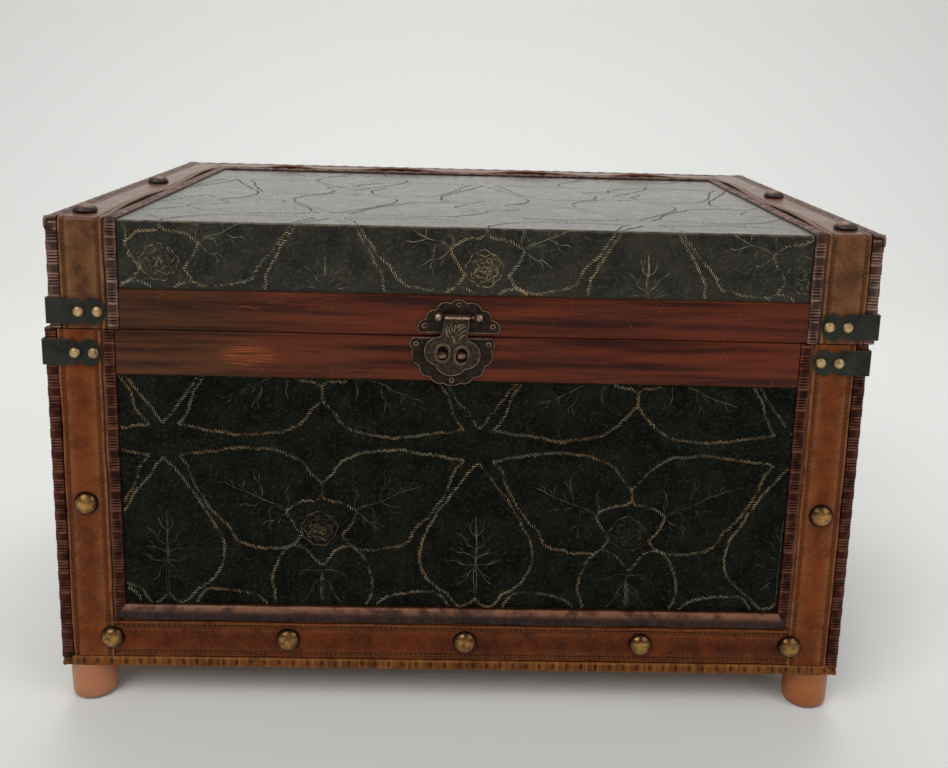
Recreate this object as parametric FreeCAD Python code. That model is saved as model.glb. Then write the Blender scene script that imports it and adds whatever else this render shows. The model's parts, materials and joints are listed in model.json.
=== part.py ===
import FreeCAD
import Part
import math
import os

# A small leather-covered dowry chest: a board carcase with a hinged lid, polished wood
# bands at the rim, embossed leather panels, stitched straps, welts, corner tabs, domed
# nails, a front latch and two butt hinges behind. Millimetres, +Z up, front towards -Y.
# The origin is the middle of the chest's outline, on the floor.

os.makedirs("parts", exist_ok=True)
V = FreeCAD.Vector
QUARTER_TURN = 90.0
FULL_TURN = 360.0

# Outside of the chest, over the leather
box_width = 430.0
box_depth = 280.0
base_height = 191.4
seam_gap = 0.4
lid_height = 58.6
lid_shift = 2.85          # the lid sits this far to the right of the base
foot_height = 22.0
overrun = 1.0             # how far a cutting tool passes a face
seat_gap = 0.2            # between leather pieces laid side by side

# Carcase boards
wall_thick = 7.0
floor_thick = 7.0
lid_top_thick = 6.0

# Leather and wood laid on the boards
strap_thick = 2.4
strap_width = 22.7
strap_gap = 1.0
corner_welt_width = 6.7
corner_welt_radius = 1.8
edge_welt_drop = 6.6
inner_welt_width = 6.0
inner_welt_thick = 2.8
bead_width = 9.2
bead_thick = 3.4
welt_side_share = 0.45    # the upright part of a welt's side, as a share of its thickness
bottom_welt_width = 6.2
bottom_strap_width = 21.0
panel_thick = 1.2
band_thick = 2.0
band_chamfer = 0.5
base_band_width = 24.0
lid_band_width = 21.2
mitre_gap = 0.3

# Corner tabs: a strip with a notch on each side and a round end
tab_thick = 1.0
tab_reach = 31.0
tab_height = 13.6
tab_corner_radius = 1.2
tab_lobe_radius = 7.2
tab_notch_depth = 1.4
tab_strip_share = 0.53    # the straight part of the tab, as a share of its reach
base_tab_drop_left = 12.2
base_tab_drop_right = 9.6
lid_tab_lift = 9.4
tab_nail_near = 16.3      # from the corner to the first nail
tab_nail_pitch = 9.6

# Domed nails with square shanks
small_head_radius = 3.2
small_head_height = 2.2
small_shank = 1.2
large_head_radius = 6.5
large_head_height = 4.4
large_shank = 2.0
shank_length = 7.6
row_nail_pitch = 96.9
row_nail_shift = 6.3
row_nail_height = 18.2
corner_nail_offset = 0.5  # outside the upright strap's inner edge, over the joint
side_nail_height = 96.0
top_nail_near = 16.5
top_nail_pitch = 129.5
top_nail_inset = 15.6

# Feet
foot_radius = 12.5
foot_taper = 0.4
foot_round = 3.0
foot_inset = 13.4
foot_nail_head_radius = 3.4
foot_nail_head_height = 0.8
foot_nail_shank = 2.6
foot_nail_length = 18.0

# Latch: two scalloped plates, and a hasp on a pin with knobbed ends
plate_thick = 1.0
lower_plate_x = -4.0      # from the middle of the base
upper_plate_x = -3.7      # from the middle of the lid
upper_plate_half = 21.0
upper_plate_height = 18.1
upper_plate_lift = 1.8    # above the lid's lower edge
lower_plate_half = 22.2
lower_plate_height = 26.1
lower_plate_drop = 0.3
pin_lift = 10.9           # above the lid's lower edge
pin_stand = 2.3           # from the upper plate's face to the pin
pin_radius = 0.8
knob_radius = 1.7
lug_place = 8.7
lug_thick = 1.0
lug_radius = 2.5
hasp_play = 0.75
hasp_thick = 1.0
hasp_stand = 0.6          # behind the hasp
hasp_half = 14.8
hasp_length = 32.0
neck_half = 6.6
knuckle_radius = 1.8
pin_clearance = 0.08
eye_drop = 20.1           # from the pin to the padlock eyes, along the hasp
eye_place = 4.95
eye_hole_radius = 1.2
eye_ring_radius = 2.3
eye_thick = 2.0
eye_stem_width = 1.8
eye_clearance = 0.1       # from the hasp's rims to the eyes' holes
eye_stem_depth = 4.0      # into the board
hasp_hole_half = 3.05
hasp_hole_height = 8.5
rim_width = 0.8
rim_height = 0.5
rivet_head_radius = 1.5
rivet_head_height = 0.6
rivet_shank = 1.1
rivet_length = 6.0

# Butt hinges
hinge_place = 110.0
leaf_width = 30.0
leaf_height = 18.0
leaf_thick = 1.2
leaf_gap = 0.3
hinge_knuckle_radius = 2.6
hinge_pin_radius = 1.25
hinge_stand = 3.0         # from the band's face to the pin
middle_knuckle = 10.0
knuckle_gap = 0.3
hinge_nail_place = 9.5
hinge_nail_height = 10.0
hinge_nail_radius = 2.2
hinge_nail_dome = 0.9
hinge_nail_shank = 1.4
hinge_nail_length = 8.0

# Worked out from the sizes above
carcase_width = box_width - 2 * strap_thick
carcase_depth = box_depth - 2 * strap_thick
base_bottom = foot_height
base_top = base_bottom + base_height
lid_bottom = base_top + seam_gap
lid_board_top = lid_bottom + lid_height - strap_thick
lid_rail_top = lid_board_top - lid_top_thick
base_x = -lid_shift / 2
lid_x = lid_shift / 2
strap_inner = corner_welt_width + strap_width
inner_welt_outer = strap_inner + strap_gap
inner_welt_inner = inner_welt_outer + inner_welt_width
field_inset = inner_welt_inner + seat_gap
bottom_strap_low = base_bottom + bottom_welt_width + seat_gap
bead_low = bottom_strap_low + bottom_strap_width + strap_gap
bead_high = bead_low + bead_width
base_band_low = base_top - base_band_width
lid_band_high = lid_bottom + lid_band_width
edge_welt_low = lid_board_top + strap_thick - edge_welt_drop
pin_z = lid_bottom + pin_lift
plate_face = band_thick + plate_thick
pin_out = plate_face + pin_stand
hasp_back = plate_face + hasp_stand
hasp_face = hasp_back + hasp_thick
eye_out = hasp_face + rim_height + eye_hole_radius + eye_clearance
hinge_out = band_thick + hinge_stand
front_reach = eye_out + eye_ring_radius
back_reach = hinge_out + hinge_knuckle_radius
box_y = (front_reach - back_reach) / 2
box_height = lid_board_top + strap_thick
top_run = carcase_depth - edge_welt_drop + strap_thick - seat_gap
field_run = top_run - strap_width - strap_gap - inner_welt_width - seat_gap
hasp_x = lid_x + upper_plate_x - hasp_play
lean = math.asin((hasp_x - base_x - lower_plate_x) / eye_drop)
hasp_lean = math.degrees(lean)
eye_z = pin_z - eye_drop * math.cos(lean)

DOME_SIDES = 10
DOME_SHARES = ((1.0, 0.0), (0.82, 0.6), (0.42, 1.0))  # of a nail's radius and height
FACES = ("front", "right", "back", "left")  # each a quarter turn on from the one before
CORNERS = ("front_left", "front_right", "back_right", "back_left")


def face_run(face):
    """Half of a face's length, over the welts."""
    return box_width / 2 if face in ("front", "back") else box_depth / 2


def face_reach(face):
    """From the chest's middle to the face of the boards."""
    return carcase_depth / 2 if face in ("front", "back") else carcase_width / 2


def on_face(shape, face, middle_x):
    """Carries a shape modelled against y = 0, outwards towards -y, onto a face."""
    placed = shape.copy()
    placed.translate(V(0, -face_reach(face), 0))
    placed.rotate(V(0, 0, 0), V(0, 0, 1), QUARTER_TURN * FACES.index(face))
    placed.translate(V(middle_x, box_y, 0))
    return placed


def at_corner(shape, corner, middle_x):
    """Carries a shape modelled round the front left corner of the boards onto a corner."""
    turns = CORNERS.index(corner)
    along, across = carcase_width / 2, carcase_depth / 2
    places = ((-along, -across), (along, -across), (along, across), (-along, across))
    placed = shape.copy()
    placed.rotate(V(0, 0, 0), V(0, 0, 1), QUARTER_TURN * turns)
    placed.translate(V(places[turns][0] + middle_x, places[turns][1] + box_y, 0))
    return placed


def slab(x0, x1, z0, z1, inner, outer):
    """A plate on a face: from x0 to x1, z0 to z1, and from inner to outer off the boards."""
    return Part.makeBox(x1 - x0, outer - inner, z1 - z0, V(x0, -outer, z0))


def outline(start, steps, lift):
    """A closed face in the upright plane y = -lift. A step is an end, or a way point and an end."""
    at = V(start[0], -lift, start[1])
    first = at
    edges = []
    for step in steps:
        end = V(step[-2], -lift, step[-1])
        if len(step) == 4:
            edges.append(Part.Arc(at, V(step[0], -lift, step[1]), end).toShape())
        else:
            edges.append(Part.LineSegment(at, end).toShape())
        at = end
    if at.distanceToPoint(first) > 0:
        edges.append(Part.LineSegment(at, first).toShape())
    return Part.Face(Part.Wire(edges))


def mirrored(start, steps):
    """The same steps gone back along the other side of x = 0."""
    points = [start] + [step[-2:] for step in steps]
    back = []
    for index in range(len(steps) - 1, -1, -1):
        step = steps[index]
        way = (-step[0], step[1]) if len(step) == 4 else ()
        end = points[index]
        back.append(way + (-end[0], end[1]))
    return back


def long_edges(shape, level, length):
    """The edges of a strip that lie on its outer plane y = -level and run its whole length."""
    found = []
    for edge in shape.Edges:
        box = edge.BoundBox
        on_plane = abs(box.YMin + level) < seat_gap / 2 and abs(box.YMax + level) < seat_gap / 2
        if on_plane and abs(edge.Length - length) < seat_gap / 2:
            found.append(edge)
    return found


def cut_all(shape, tools):
    """Cuts every tool that comes near the shape."""
    near = [tool for tool in tools if shape.BoundBox.intersect(tool.BoundBox)]
    return shape.cut(near) if near else shape


def save(name, shapes):
    """Writes a node: one solid, or a group of separate solids."""
    solids = [solid for shape in shapes for solid in shape.Solids]
    shape = solids[0] if len(solids) == 1 else Part.makeCompound(solids)
    shape.exportStep("parts/%s.step" % name)


def domed_nail(head_radius, head_height, shank, length):
    """A nail seated at y = 0, its hammered dome towards -y, and its square shank by itself."""
    rings = []
    for across, high in DOME_SHARES:
        turns = [2 * math.pi * step / DOME_SIDES for step in range(DOME_SIDES)]
        radius = across * head_radius
        ring = [V(radius * math.cos(t), -high * head_height, radius * math.sin(t)) for t in turns]
        rings.append(Part.makePolygon(ring + ring[:1]))
    dome = Part.makeLoft(rings, True, True)
    return dome, Part.makeBox(shank, length, shank, V(-shank / 2, 0, -shank / 2))


def nails_on_face(nail, places, seat, face, middle_x):
    """Nail solids and their shanks at (x, z) places of a face."""
    nails, shanks = [], []
    for x, z in places:
        head, shank = nail[0].copy(), nail[1].copy()
        for piece in (head, shank):
            piece.translate(V(x, -seat, z))
        nails.append(on_face(head.fuse(shank), face, middle_x))
        shanks.append(on_face(shank, face, middle_x))
    return nails, shanks


# Boards

def walls(name, low, high, middle_x):
    """Front and back boards over the whole width, side boards between them."""
    boards = {}
    for face in FACES:
        half = face_reach("right") if face in ("front", "back") else face_reach("front") - wall_thick
        boards[name % face] = on_face(slab(-half, half, low, high, -wall_thick, 0), face, middle_x)
    return boards


def flat_board(low, thick, middle_x):
    corner = V(middle_x - carcase_width / 2, box_y - carcase_depth / 2, low)
    return Part.makeBox(carcase_width, carcase_depth, thick, corner)


def base_boards():
    """The floor board, and the four walls that stand on it."""
    boards = walls("base_%s_board", base_bottom + floor_thick, base_top, base_x)
    boards["base_floor_board"] = flat_board(base_bottom, floor_thick, base_x)
    return boards


def lid_boards():
    """The top board, and the four rails under it."""
    boards = walls("lid_%s_rail", lid_bottom, lid_rail_top, lid_x)
    boards["lid_top_board"] = flat_board(lid_rail_top, lid_top_thick, lid_x)
    return boards


# Bands and panels

def band(face, low, high, middle_x):
    """A polished wood strip with its long edges eased."""
    half = face_run(face) - field_inset
    strip = slab(-half, half, low, high, 0, band_thick)
    strip = strip.makeChamfer(band_chamfer, long_edges(strip, band_thick, 2 * half))
    return on_face(strip, face, middle_x)


def panel(face, low, high, middle_x):
    half = face_run(face) - field_inset
    return on_face(slab(-half, half, low, high, 0, panel_thick), face, middle_x)


def bar_profile(x0, x1, thick):
    """The section of a flat strip, its back on y = 0."""
    corners = [V(x0, 0, 0), V(x1, 0, 0), V(x1, -thick, 0), V(x0, -thick, 0), V(x0, 0, 0)]
    return Part.Face(Part.makePolygon(corners))


def crown_profile(middle, width, thick):
    """The section of a welt: low upright sides and a domed face."""
    side = thick * welt_side_share
    left, right = middle - width / 2, middle + width / 2
    edges = [
        Part.LineSegment(V(left, 0, 0), V(left, -side, 0)).toShape(),
        Part.Arc(V(left, -side, 0), V(middle, -thick, 0), V(right, -side, 0)).toShape(),
        Part.LineSegment(V(right, -side, 0), V(right, 0, 0)).toShape(),
        Part.LineSegment(V(right, 0, 0), V(left, 0, 0)).toShape(),
    ]
    return Part.Face(Part.Wire(edges))


def upright(profile, low, high):
    face = profile.copy()
    face.translate(V(0, 0, low))
    return face.extrude(V(0, 0, high - low))


def over_the_edge(profile, low, run):
    """A strip up the front from a height, bent round the lid's edge and back over the top."""
    edge = V(0, 0, lid_board_top)
    face = profile.copy()
    face.translate(edge)
    bend = face.revolve(edge, V(1, 0, 0), -QUARTER_TURN)
    face.rotate(edge, V(1, 0, 0), -QUARTER_TURN)
    over = face.extrude(V(0, run, 0))
    return upright(profile, low, lid_board_top).fuse([bend, over]).removeSplitter()


def cover_sheet():
    """One leather sheet up the lid's front and over the top, as far as the back bead."""
    half = face_run("front") - field_inset
    sheet = over_the_edge(bar_profile(-half, half, panel_thick), lid_band_high + seat_gap, field_run)
    return on_face(sheet, "front", lid_x)


# Welts and the bead

def mitre_block(x0, z0, x1, z1, side):
    """A block on one side of the slant line through two points of a face."""
    along = V(x1 - x0, 0, z1 - z0)
    along.normalize()
    out = V(-along.z, 0, along.x) * side
    span = along * (bead_width + inner_welt_width)
    near = V(x0, overrun, z0) - out * (mitre_gap / 2)
    far = V(x1, overrun, z1) - out * (mitre_gap / 2)
    depth = out * box_height
    corners = [near - span, far + span, far + span + depth, near - span + depth, near - span]
    return Part.Face(Part.makePolygon(corners)).extrude(V(0, -bead_thick - 2 * overrun, 0))


def base_inner_welts(face):
    """Two upright welts and the bead under the panel, mitred where they meet."""
    run = face_run(face)
    outer, inner = run - inner_welt_outer, run - inner_welt_inner
    bead = level_bar(bead_width, bead_thick, 2 * outer, bead_low)
    pieces = []
    for side in (-1, 1):
        slant = (side * outer, bead_low, side * inner, bead_high)
        section = crown_profile(side * (outer + inner) / 2, inner_welt_width, inner_welt_thick)
        pieces.append(upright(section, bead_low, base_top).cut(mitre_block(*slant, side)))
        bead = bead.cut(mitre_block(*slant, -side))
    pieces.append(bead)
    return [on_face(piece, face, base_x) for piece in pieces]


def level_bar(width, thick, length, low):
    """A domed bar lying along x, its lower edge at the given height."""
    bar = upright(crown_profile(0, width, thick), -length / 2, length / 2)
    bar.rotate(V(0, 0, 0), V(0, 1, 0), QUARTER_TURN)
    bar.translate(V(0, 0, low + width / 2))
    return bar


def lid_upright_welts(face):
    middle = face_run(face) - (inner_welt_outer + inner_welt_inner) / 2
    high = edge_welt_low - seat_gap
    sections = [crown_profile(side * middle, inner_welt_width, inner_welt_thick) for side in (-1, 1)]
    return [on_face(upright(section, lid_bottom, high), face, lid_x) for section in sections]


def lid_front_welts():
    """Inner welts that run up the front and back over the top to the bead."""
    middle = face_run("front") - (inner_welt_outer + inner_welt_inner) / 2
    sections = [crown_profile(side * middle, inner_welt_width, inner_welt_thick) for side in (-1, 1)]
    return [on_face(over_the_edge(section, lid_bottom, field_run), "front", lid_x) for section in sections]


def top_bead():
    """The bead across the top, in front of the back strap."""
    half = face_run("front") - inner_welt_outer
    bead = level_bar(inner_welt_width, inner_welt_thick, 2 * half, 0)
    bead.rotate(V(0, 0, 0), V(1, 0, 0), -QUARTER_TURN)
    bead.translate(V(0, field_run + seat_gap, lid_board_top))
    return on_face(bead, "front", lid_x)


def corner_profile(wide, thick, radius):
    """The section of a strip folded round the boards' front left corner."""
    leg = wide - thick
    slope = radius * (1 - math.sqrt(0.5))
    points = [V(0, 0, 0), V(leg, 0, 0), V(leg, -thick, 0), V(radius - thick, -thick, 0)]
    edges = [Part.LineSegment(a, b).toShape() for a, b in zip(points, points[1:])]
    side = V(-thick, radius - thick, 0)
    way = V(slope - thick, slope - thick, 0)
    edges.append(Part.Arc(points[-1], way, side).toShape())
    last = [side, V(-thick, leg, 0), V(0, leg, 0), points[0]]
    edges.extend(Part.LineSegment(a, b).toShape() for a, b in zip(last, last[1:]))
    return Part.Face(Part.Wire(edges))


def corner_welt(low, high):
    profile = corner_profile(corner_welt_width, strap_thick, corner_welt_radius)
    return upright(profile, low, high)


def base_corner_welts():
    """Corner welts with their lower ends cut on the slant for the bottom welts."""
    welt = corner_welt(base_bottom, base_top)
    inner = corner_welt_width - strap_thick
    block = mitre_block(0, base_bottom, inner, base_bottom + bottom_welt_width, -1)
    other = block.mirror(V(0, 0, 0), V(1, -1, 0))
    welt = welt.cut([block, other])
    return [at_corner(welt, corner, base_x) for corner in CORNERS]


def bottom_welt(face):
    """A flat welt along the bottom edge, its ends on the slant."""
    run = face_run(face)
    low, high = base_bottom, base_bottom + bottom_welt_width
    bar = slab(-run, run, low, high, 0, strap_thick)
    for side in (-1, 1):
        x0, x1 = side * (run - strap_thick), side * (run - corner_welt_width)
        bar = bar.cut(mitre_block(x0, low, x1, high, -side))
    return on_face(bar, face, base_x)


def lid_edge_welts():
    """Welts folded over the top's two side edges and, between them, its back edge."""
    profile = corner_profile(edge_welt_drop, strap_thick, corner_welt_radius)
    profile.rotate(V(0, 0, 0), V(1, 0, 0), -QUARTER_TURN)
    sides = []
    for side in (-1, 1):
        face = profile.copy()
        if side > 0:
            face = face.mirror(V(0, 0, 0), V(1, 0, 0))
        face.translate(V(side * carcase_width / 2, -strap_thick, lid_board_top))
        sides.append(on_face(face.extrude(V(0, box_depth, 0)), "front", lid_x))
    back = profile.copy()
    back.translate(V(-carcase_depth / 2, 0, lid_board_top))
    back.rotate(V(0, 0, 0), V(0, 0, 1), -QUARTER_TURN)
    half = box_width / 2 - edge_welt_drop - seat_gap
    back.translate(V(-half, 0, 0))
    back = back.extrude(V(2 * half, 0, 0))
    back.translate(V(lid_x, box_y, 0))
    return sides, back


# Straps

def upright_straps(face, low, high, middle_x):
    """Two upright straps beside the corner welts of a face."""
    run = face_run(face)
    straps = []
    for side in (-1, 1):
        near, far = side * (run - corner_welt_width), side * (run - strap_inner)
        straps.append(on_face(slab(min(near, far), max(near, far), low, high, 0, strap_thick), face, middle_x))
    return straps


def bottom_strap(face):
    half = face_run(face) - strap_inner - seat_gap
    high = bottom_strap_low + bottom_strap_width
    return on_face(slab(-half, half, bottom_strap_low, high, 0, strap_thick), face, base_x)


def lid_wrap_straps():
    """Straps that run up the lid's front and back over the top, beside the edge welts."""
    run = box_width / 2
    straps = []
    for side in (-1, 1):
        ends = sorted((side * (run - corner_welt_width), side * (run - strap_inner)))
        strap = over_the_edge(bar_profile(*ends, strap_thick), lid_bottom, top_run)
        straps.append(on_face(strap, "front", lid_x))
    return straps


def back_top_strap():
    """The strap across the back of the top, between the wrap straps."""
    half = box_width / 2 - strap_inner - seat_gap
    corner = V(lid_x - half, box_y - carcase_depth / 2 + top_run - strap_width, lid_board_top)
    return Part.makeBox(2 * half, strap_width, strap_thick, corner)


# Corner tabs

def tab_leg():
    """One leg of a tab on the front face: strip, notches and round end."""
    half = tab_height / 2
    strip_end = tab_reach * tab_strip_share
    middle = tab_reach - tab_lobe_radius
    notch_end = middle - tab_notch_depth
    notch_rise = math.sqrt(tab_lobe_radius ** 2 - tab_notch_depth ** 2)
    notch_way = (strip_end + notch_end) / 2
    start = (0, -half)
    steps = [
        (strip_end, -half),
        (notch_way, tab_notch_depth - half, notch_end, -notch_rise),
        (tab_reach, 0, notch_end, notch_rise),
        (notch_way, half - tab_notch_depth, strip_end, half),
        (0, half),
    ]
    leg = outline(start, steps, strap_thick).extrude(V(0, -tab_thick, 0))
    leg.translate(V(-strap_thick - tab_thick, 0, 0))
    return leg


def corner_tab():
    """A tab folded round the boards' front left corner, at height 0."""
    leg = tab_leg()
    other = leg.mirror(V(0, 0, 0), V(1, -1, 0))
    tab = leg.fuse(other).removeSplitter()
    level = -strap_thick - tab_thick
    corner = [e for e in tab.Edges if e.BoundBox.XMax < level + seat_gap / 2 and e.BoundBox.YMax < level + seat_gap / 2]
    return tab.makeFillet(tab_corner_radius, corner)


def tabs(heights, middle_x):
    placed = []
    for corner in CORNERS:
        tab = corner_tab()
        tab.translate(V(0, 0, heights[corner.split("_")[1]]))
        placed.append(at_corner(tab, corner, middle_x))
    return placed


def tab_nail_places(face, heights):
    """Two nails on each of the two tabs of a face, by the side that the tab's corner is on."""
    left, right = {"front": ("left", "right"), "right": ("right", "right"),
                   "back": ("right", "left"), "left": ("left", "left")}[face]
    near = face_run(face) - tab_nail_near
    places = []
    for side, hand in ((-1, left), (1, right)):
        for inset in (0, tab_nail_pitch):
            places.append((side * (near - inset), heights[hand]))
    return places


# Domed nails

def base_nail_places(face):
    """Large nails: one halfway up each upright strap, and a row along the bottom strap."""
    run = face_run(face)
    strap_middle = run - corner_welt_width - strap_width / 2
    row = base_bottom + row_nail_height
    joint = run - strap_inner + corner_nail_offset
    places = [(side * strap_middle, base_bottom + side_nail_height) for side in (-1, 1)]
    places += [(side * joint, row) for side in (-1, 1)]
    if face in ("front", "back"):
        places += [(row_nail_shift + step * row_nail_pitch, row) for step in (-1, 0, 1)]
    else:
        places.append((0, row))
    return places


def lid_nails(large):
    """Large nails in the top of the lid: two on each wrap strap."""
    inset = box_width / 2 - top_nail_inset
    front = -carcase_depth / 2 + top_nail_near - strap_thick
    places = [(side * inset, front + step * top_nail_pitch) for side in (-1, 1) for step in (0, 1)]
    nails, shanks = [], []
    for x, y in places:
        head, shank = large[0].copy(), large[1].copy()
        for piece in (head, shank):
            piece.rotate(V(0, 0, 0), V(1, 0, 0), -QUARTER_TURN)
            piece.translate(V(lid_x + x, box_y + y, lid_board_top + strap_thick))
        nails.append(head.fuse(shank))
        shanks.append(shank)
    return nails, shanks


# Feet

def foot_solid():
    """A round foot, slightly tapered, its lower edge rounded."""
    low = foot_radius - foot_taper
    turn = foot_round * (1 - math.sqrt(0.5))
    points = [
        V(0, 0, 0), V(low - foot_round, 0, 0), V(low - turn, 0, turn), V(low, 0, foot_round),
        V(foot_radius, 0, foot_height), V(0, 0, foot_height), V(0, 0, 0),
    ]
    return Part.Face(Part.makePolygon(points)).revolve(V(0, 0, 0), V(0, 0, 1), FULL_TURN)


def foot_places():
    across, deep = box_width / 2 - foot_inset, box_depth / 2 - foot_inset
    return [(base_x + side * across, box_y + end * deep) for side in (-1, 1) for end in (-1, 1)]


def feet_and_nails():
    """The feet, and the nail that holds each from the inside of the floor board."""
    foot = foot_solid()
    nail = domed_nail(foot_nail_head_radius, foot_nail_head_height, foot_nail_shank, foot_nail_length)
    feet, nails, shanks = [], [], []
    for x, y in foot_places():
        head, shank = nail[0].copy(), nail[1].copy()
        for piece in (head, shank):
            piece.rotate(V(0, 0, 0), V(1, 0, 0), -QUARTER_TURN)
            piece.translate(V(x, y, base_bottom + floor_thick))
        nails.append(head.fuse(shank))
        shanks.append(shank)
        placed = foot.copy()
        placed.translate(V(x, y, 0))
        feet.append(placed.cut(shank))
    return feet, nails, shanks


# Latch

UPPER_SHARES = (
    (1.0, 0.27, 0.814, 0.403), (0.757, 0.608, 0.567, 0.685), (0.438, 0.878, 0.198, 0.878),
)
UPPER_CORNER_SHARE = 0.98
LOWER_SHARES = (
    (1.0, 0.092, 0.928, 0.241), (0.941, 0.448, 0.770, 0.594),
    (0.712, 0.755, 0.509, 0.816), (0.405, 0.931, 0.203, 0.946),
)
LOWER_CORNER_SHARE = 0.90
UPPER_NAIL_SHARES = ((-0.84, 0.22), (0.84, 0.22), (0.0, 0.845))
LOWER_NAIL_SHARES = ((-0.85, 0.13), (0.85, 0.13), (0.0, 0.875))
HASP_SHARES = ((0.473, 0.331, 0.581, 0.375), (1.0, 0.603, 0.534, 0.856))
HASP_NECK_SHARE = 0.266
KNOB_SHARES = ((0.0, 0.0), (0.0, 0.5), (0.28, 1.0), (0.62, 1.0), (0.92, 0.5), (0.92, 0.0))


def scalloped(half, height, corner_share, shares):
    """A plate with a flat edge at z = 0 and lobes round the rest, and a middle lobe at its height."""
    start = (half * corner_share, 0)
    steps = [(a * half, b * height, c * half, d * height) for a, b, c, d in shares]
    crown = (0, height, -steps[-1][2], steps[-1][3])
    return outline(start, steps + [crown] + mirrored(start, steps), 0)


def plate_on_face(face_shape, level, thick):
    solid = face_shape.extrude(V(0, -thick, 0))
    solid.translate(V(0, -level, 0))
    return solid


def upper_plate():
    """The scalloped plate on the lid, with two lugs bent out of it for the pin."""
    form = scalloped(upper_plate_half, upper_plate_height, UPPER_CORNER_SHARE, UPPER_SHARES)
    plate = plate_on_face(form, band_thick, plate_thick)
    plate.translate(V(0, 0, lid_bottom + upper_plate_lift))
    lugs = []
    for side in (-1, 1):
        left = side * lug_place - lug_thick / 2
        ring = Part.makeCylinder(lug_radius, lug_thick, V(left, -pin_out, pin_z), V(1, 0, 0))
        root = Part.makeBox(lug_thick, pin_out - plate_face, 2 * lug_radius, V(left, -pin_out, pin_z - lug_radius))
        lugs += [ring, root]
    plate = plate.fuse(lugs).removeSplitter()
    return plate.cut(latch_pin_rod())


def latch_pin_rod():
    reach = lug_place + lug_thick / 2
    return Part.makeCylinder(pin_radius, 2 * reach, V(-reach, -pin_out, pin_z), V(1, 0, 0))


def latch_pin():
    """The pin through the lugs, with a turned knob on each end."""
    reach = lug_place + lug_thick / 2
    knobs = []
    for side in (-1, 1):
        points = [V(side * (reach + a * 2 * knob_radius), -b * knob_radius, 0) for a, b in KNOB_SHARES]
        knob = Part.Face(Part.makePolygon(points + points[:1])).revolve(V(0, 0, 0), V(1, 0, 0), FULL_TURN)
        knob.translate(V(0, -pin_out, pin_z))
        knobs.append(knob)
    return latch_pin_rod().fuse(knobs).removeSplitter()


def lower_plate():
    form = scalloped(lower_plate_half, lower_plate_height, LOWER_CORNER_SHARE, LOWER_SHARES)
    plate = plate_on_face(form, band_thick, plate_thick)
    plate.rotate(V(0, 0, 0), V(0, 1, 0), 2 * QUARTER_TURN)
    plate.translate(V(0, 0, base_top - lower_plate_drop))
    return plate


def eye(x, z):
    """A padlock eye: a flat ring in front of the plate, on a square stem driven into the board."""
    ring = Part.makeCylinder(eye_ring_radius, eye_thick, V(x, -eye_out, z - eye_thick / 2))
    stem_half = eye_stem_width / 2
    stem = Part.makeBox(eye_stem_width, eye_out + eye_stem_depth, eye_stem_width,
                        V(x - stem_half, -eye_out, z - stem_half))
    hole = Part.makeCylinder(eye_hole_radius, eye_thick, V(x, -eye_out, z - eye_thick / 2))
    shank = Part.makeBox(eye_stem_width, plate_face + eye_stem_depth, eye_stem_width,
                         V(x - stem_half, -plate_face, z - stem_half))
    return ring.fuse(stem).cut(hole), shank


def oval(width, height):
    """An upright oval face with round ends, centred on the origin."""
    radius = width / 2
    rise = height / 2 - radius
    steps = [(0, rise + radius, -radius, rise), (-radius, -rise), (0, -rise - radius, radius, -rise)]
    return outline((radius, rise), steps, 0)


def hasp():
    """The hasp, hanging from its knuckle at the origin, leaning so that its holes meet the eyes."""
    neck = hasp_length * HASP_NECK_SHARE
    start = (neck_half, 0)
    steps = [(neck_half, -neck)]
    steps += [(a * hasp_half, -b * hasp_length, c * hasp_half, -d * hasp_length) for a, b, c, d in HASP_SHARES]
    crown = (0, -hasp_length, -steps[-1][2], steps[-1][3])
    form = outline(start, steps + [crown] + mirrored(start, steps), 0)
    blade = plate_on_face(form, hasp_back, hasp_thick)
    holes, rims = [], []
    for side in (-1, 1):
        hole = oval(2 * hasp_hole_half, hasp_hole_height)
        rim = oval(2 * (hasp_hole_half + rim_width), hasp_hole_height + 2 * rim_width)
        hole = plate_on_face(hole, hasp_back - overrun, hasp_thick + rim_height + 2 * overrun)
        rim = plate_on_face(rim, hasp_face - hasp_thick / 2, hasp_thick / 2 + rim_height)
        for piece, kept in ((hole, holes), (rim, rims)):
            piece.translate(V(side * eye_place, 0, -eye_drop))
            kept.append(piece)
    blade = blade.fuse(rims).cut(holes)
    blade.rotate(V(0, 0, 0), V(0, 1, 0), hasp_lean)
    knuckle = Part.makeCylinder(knuckle_radius, 2 * neck_half, V(-neck_half, -pin_out, 0), V(1, 0, 0))
    bore = Part.makeCylinder(pin_radius + pin_clearance, 2 * hasp_half, V(-hasp_half, -pin_out, 0), V(1, 0, 0))
    return blade.fuse(knuckle).cut(bore)


# Butt hinges

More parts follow.
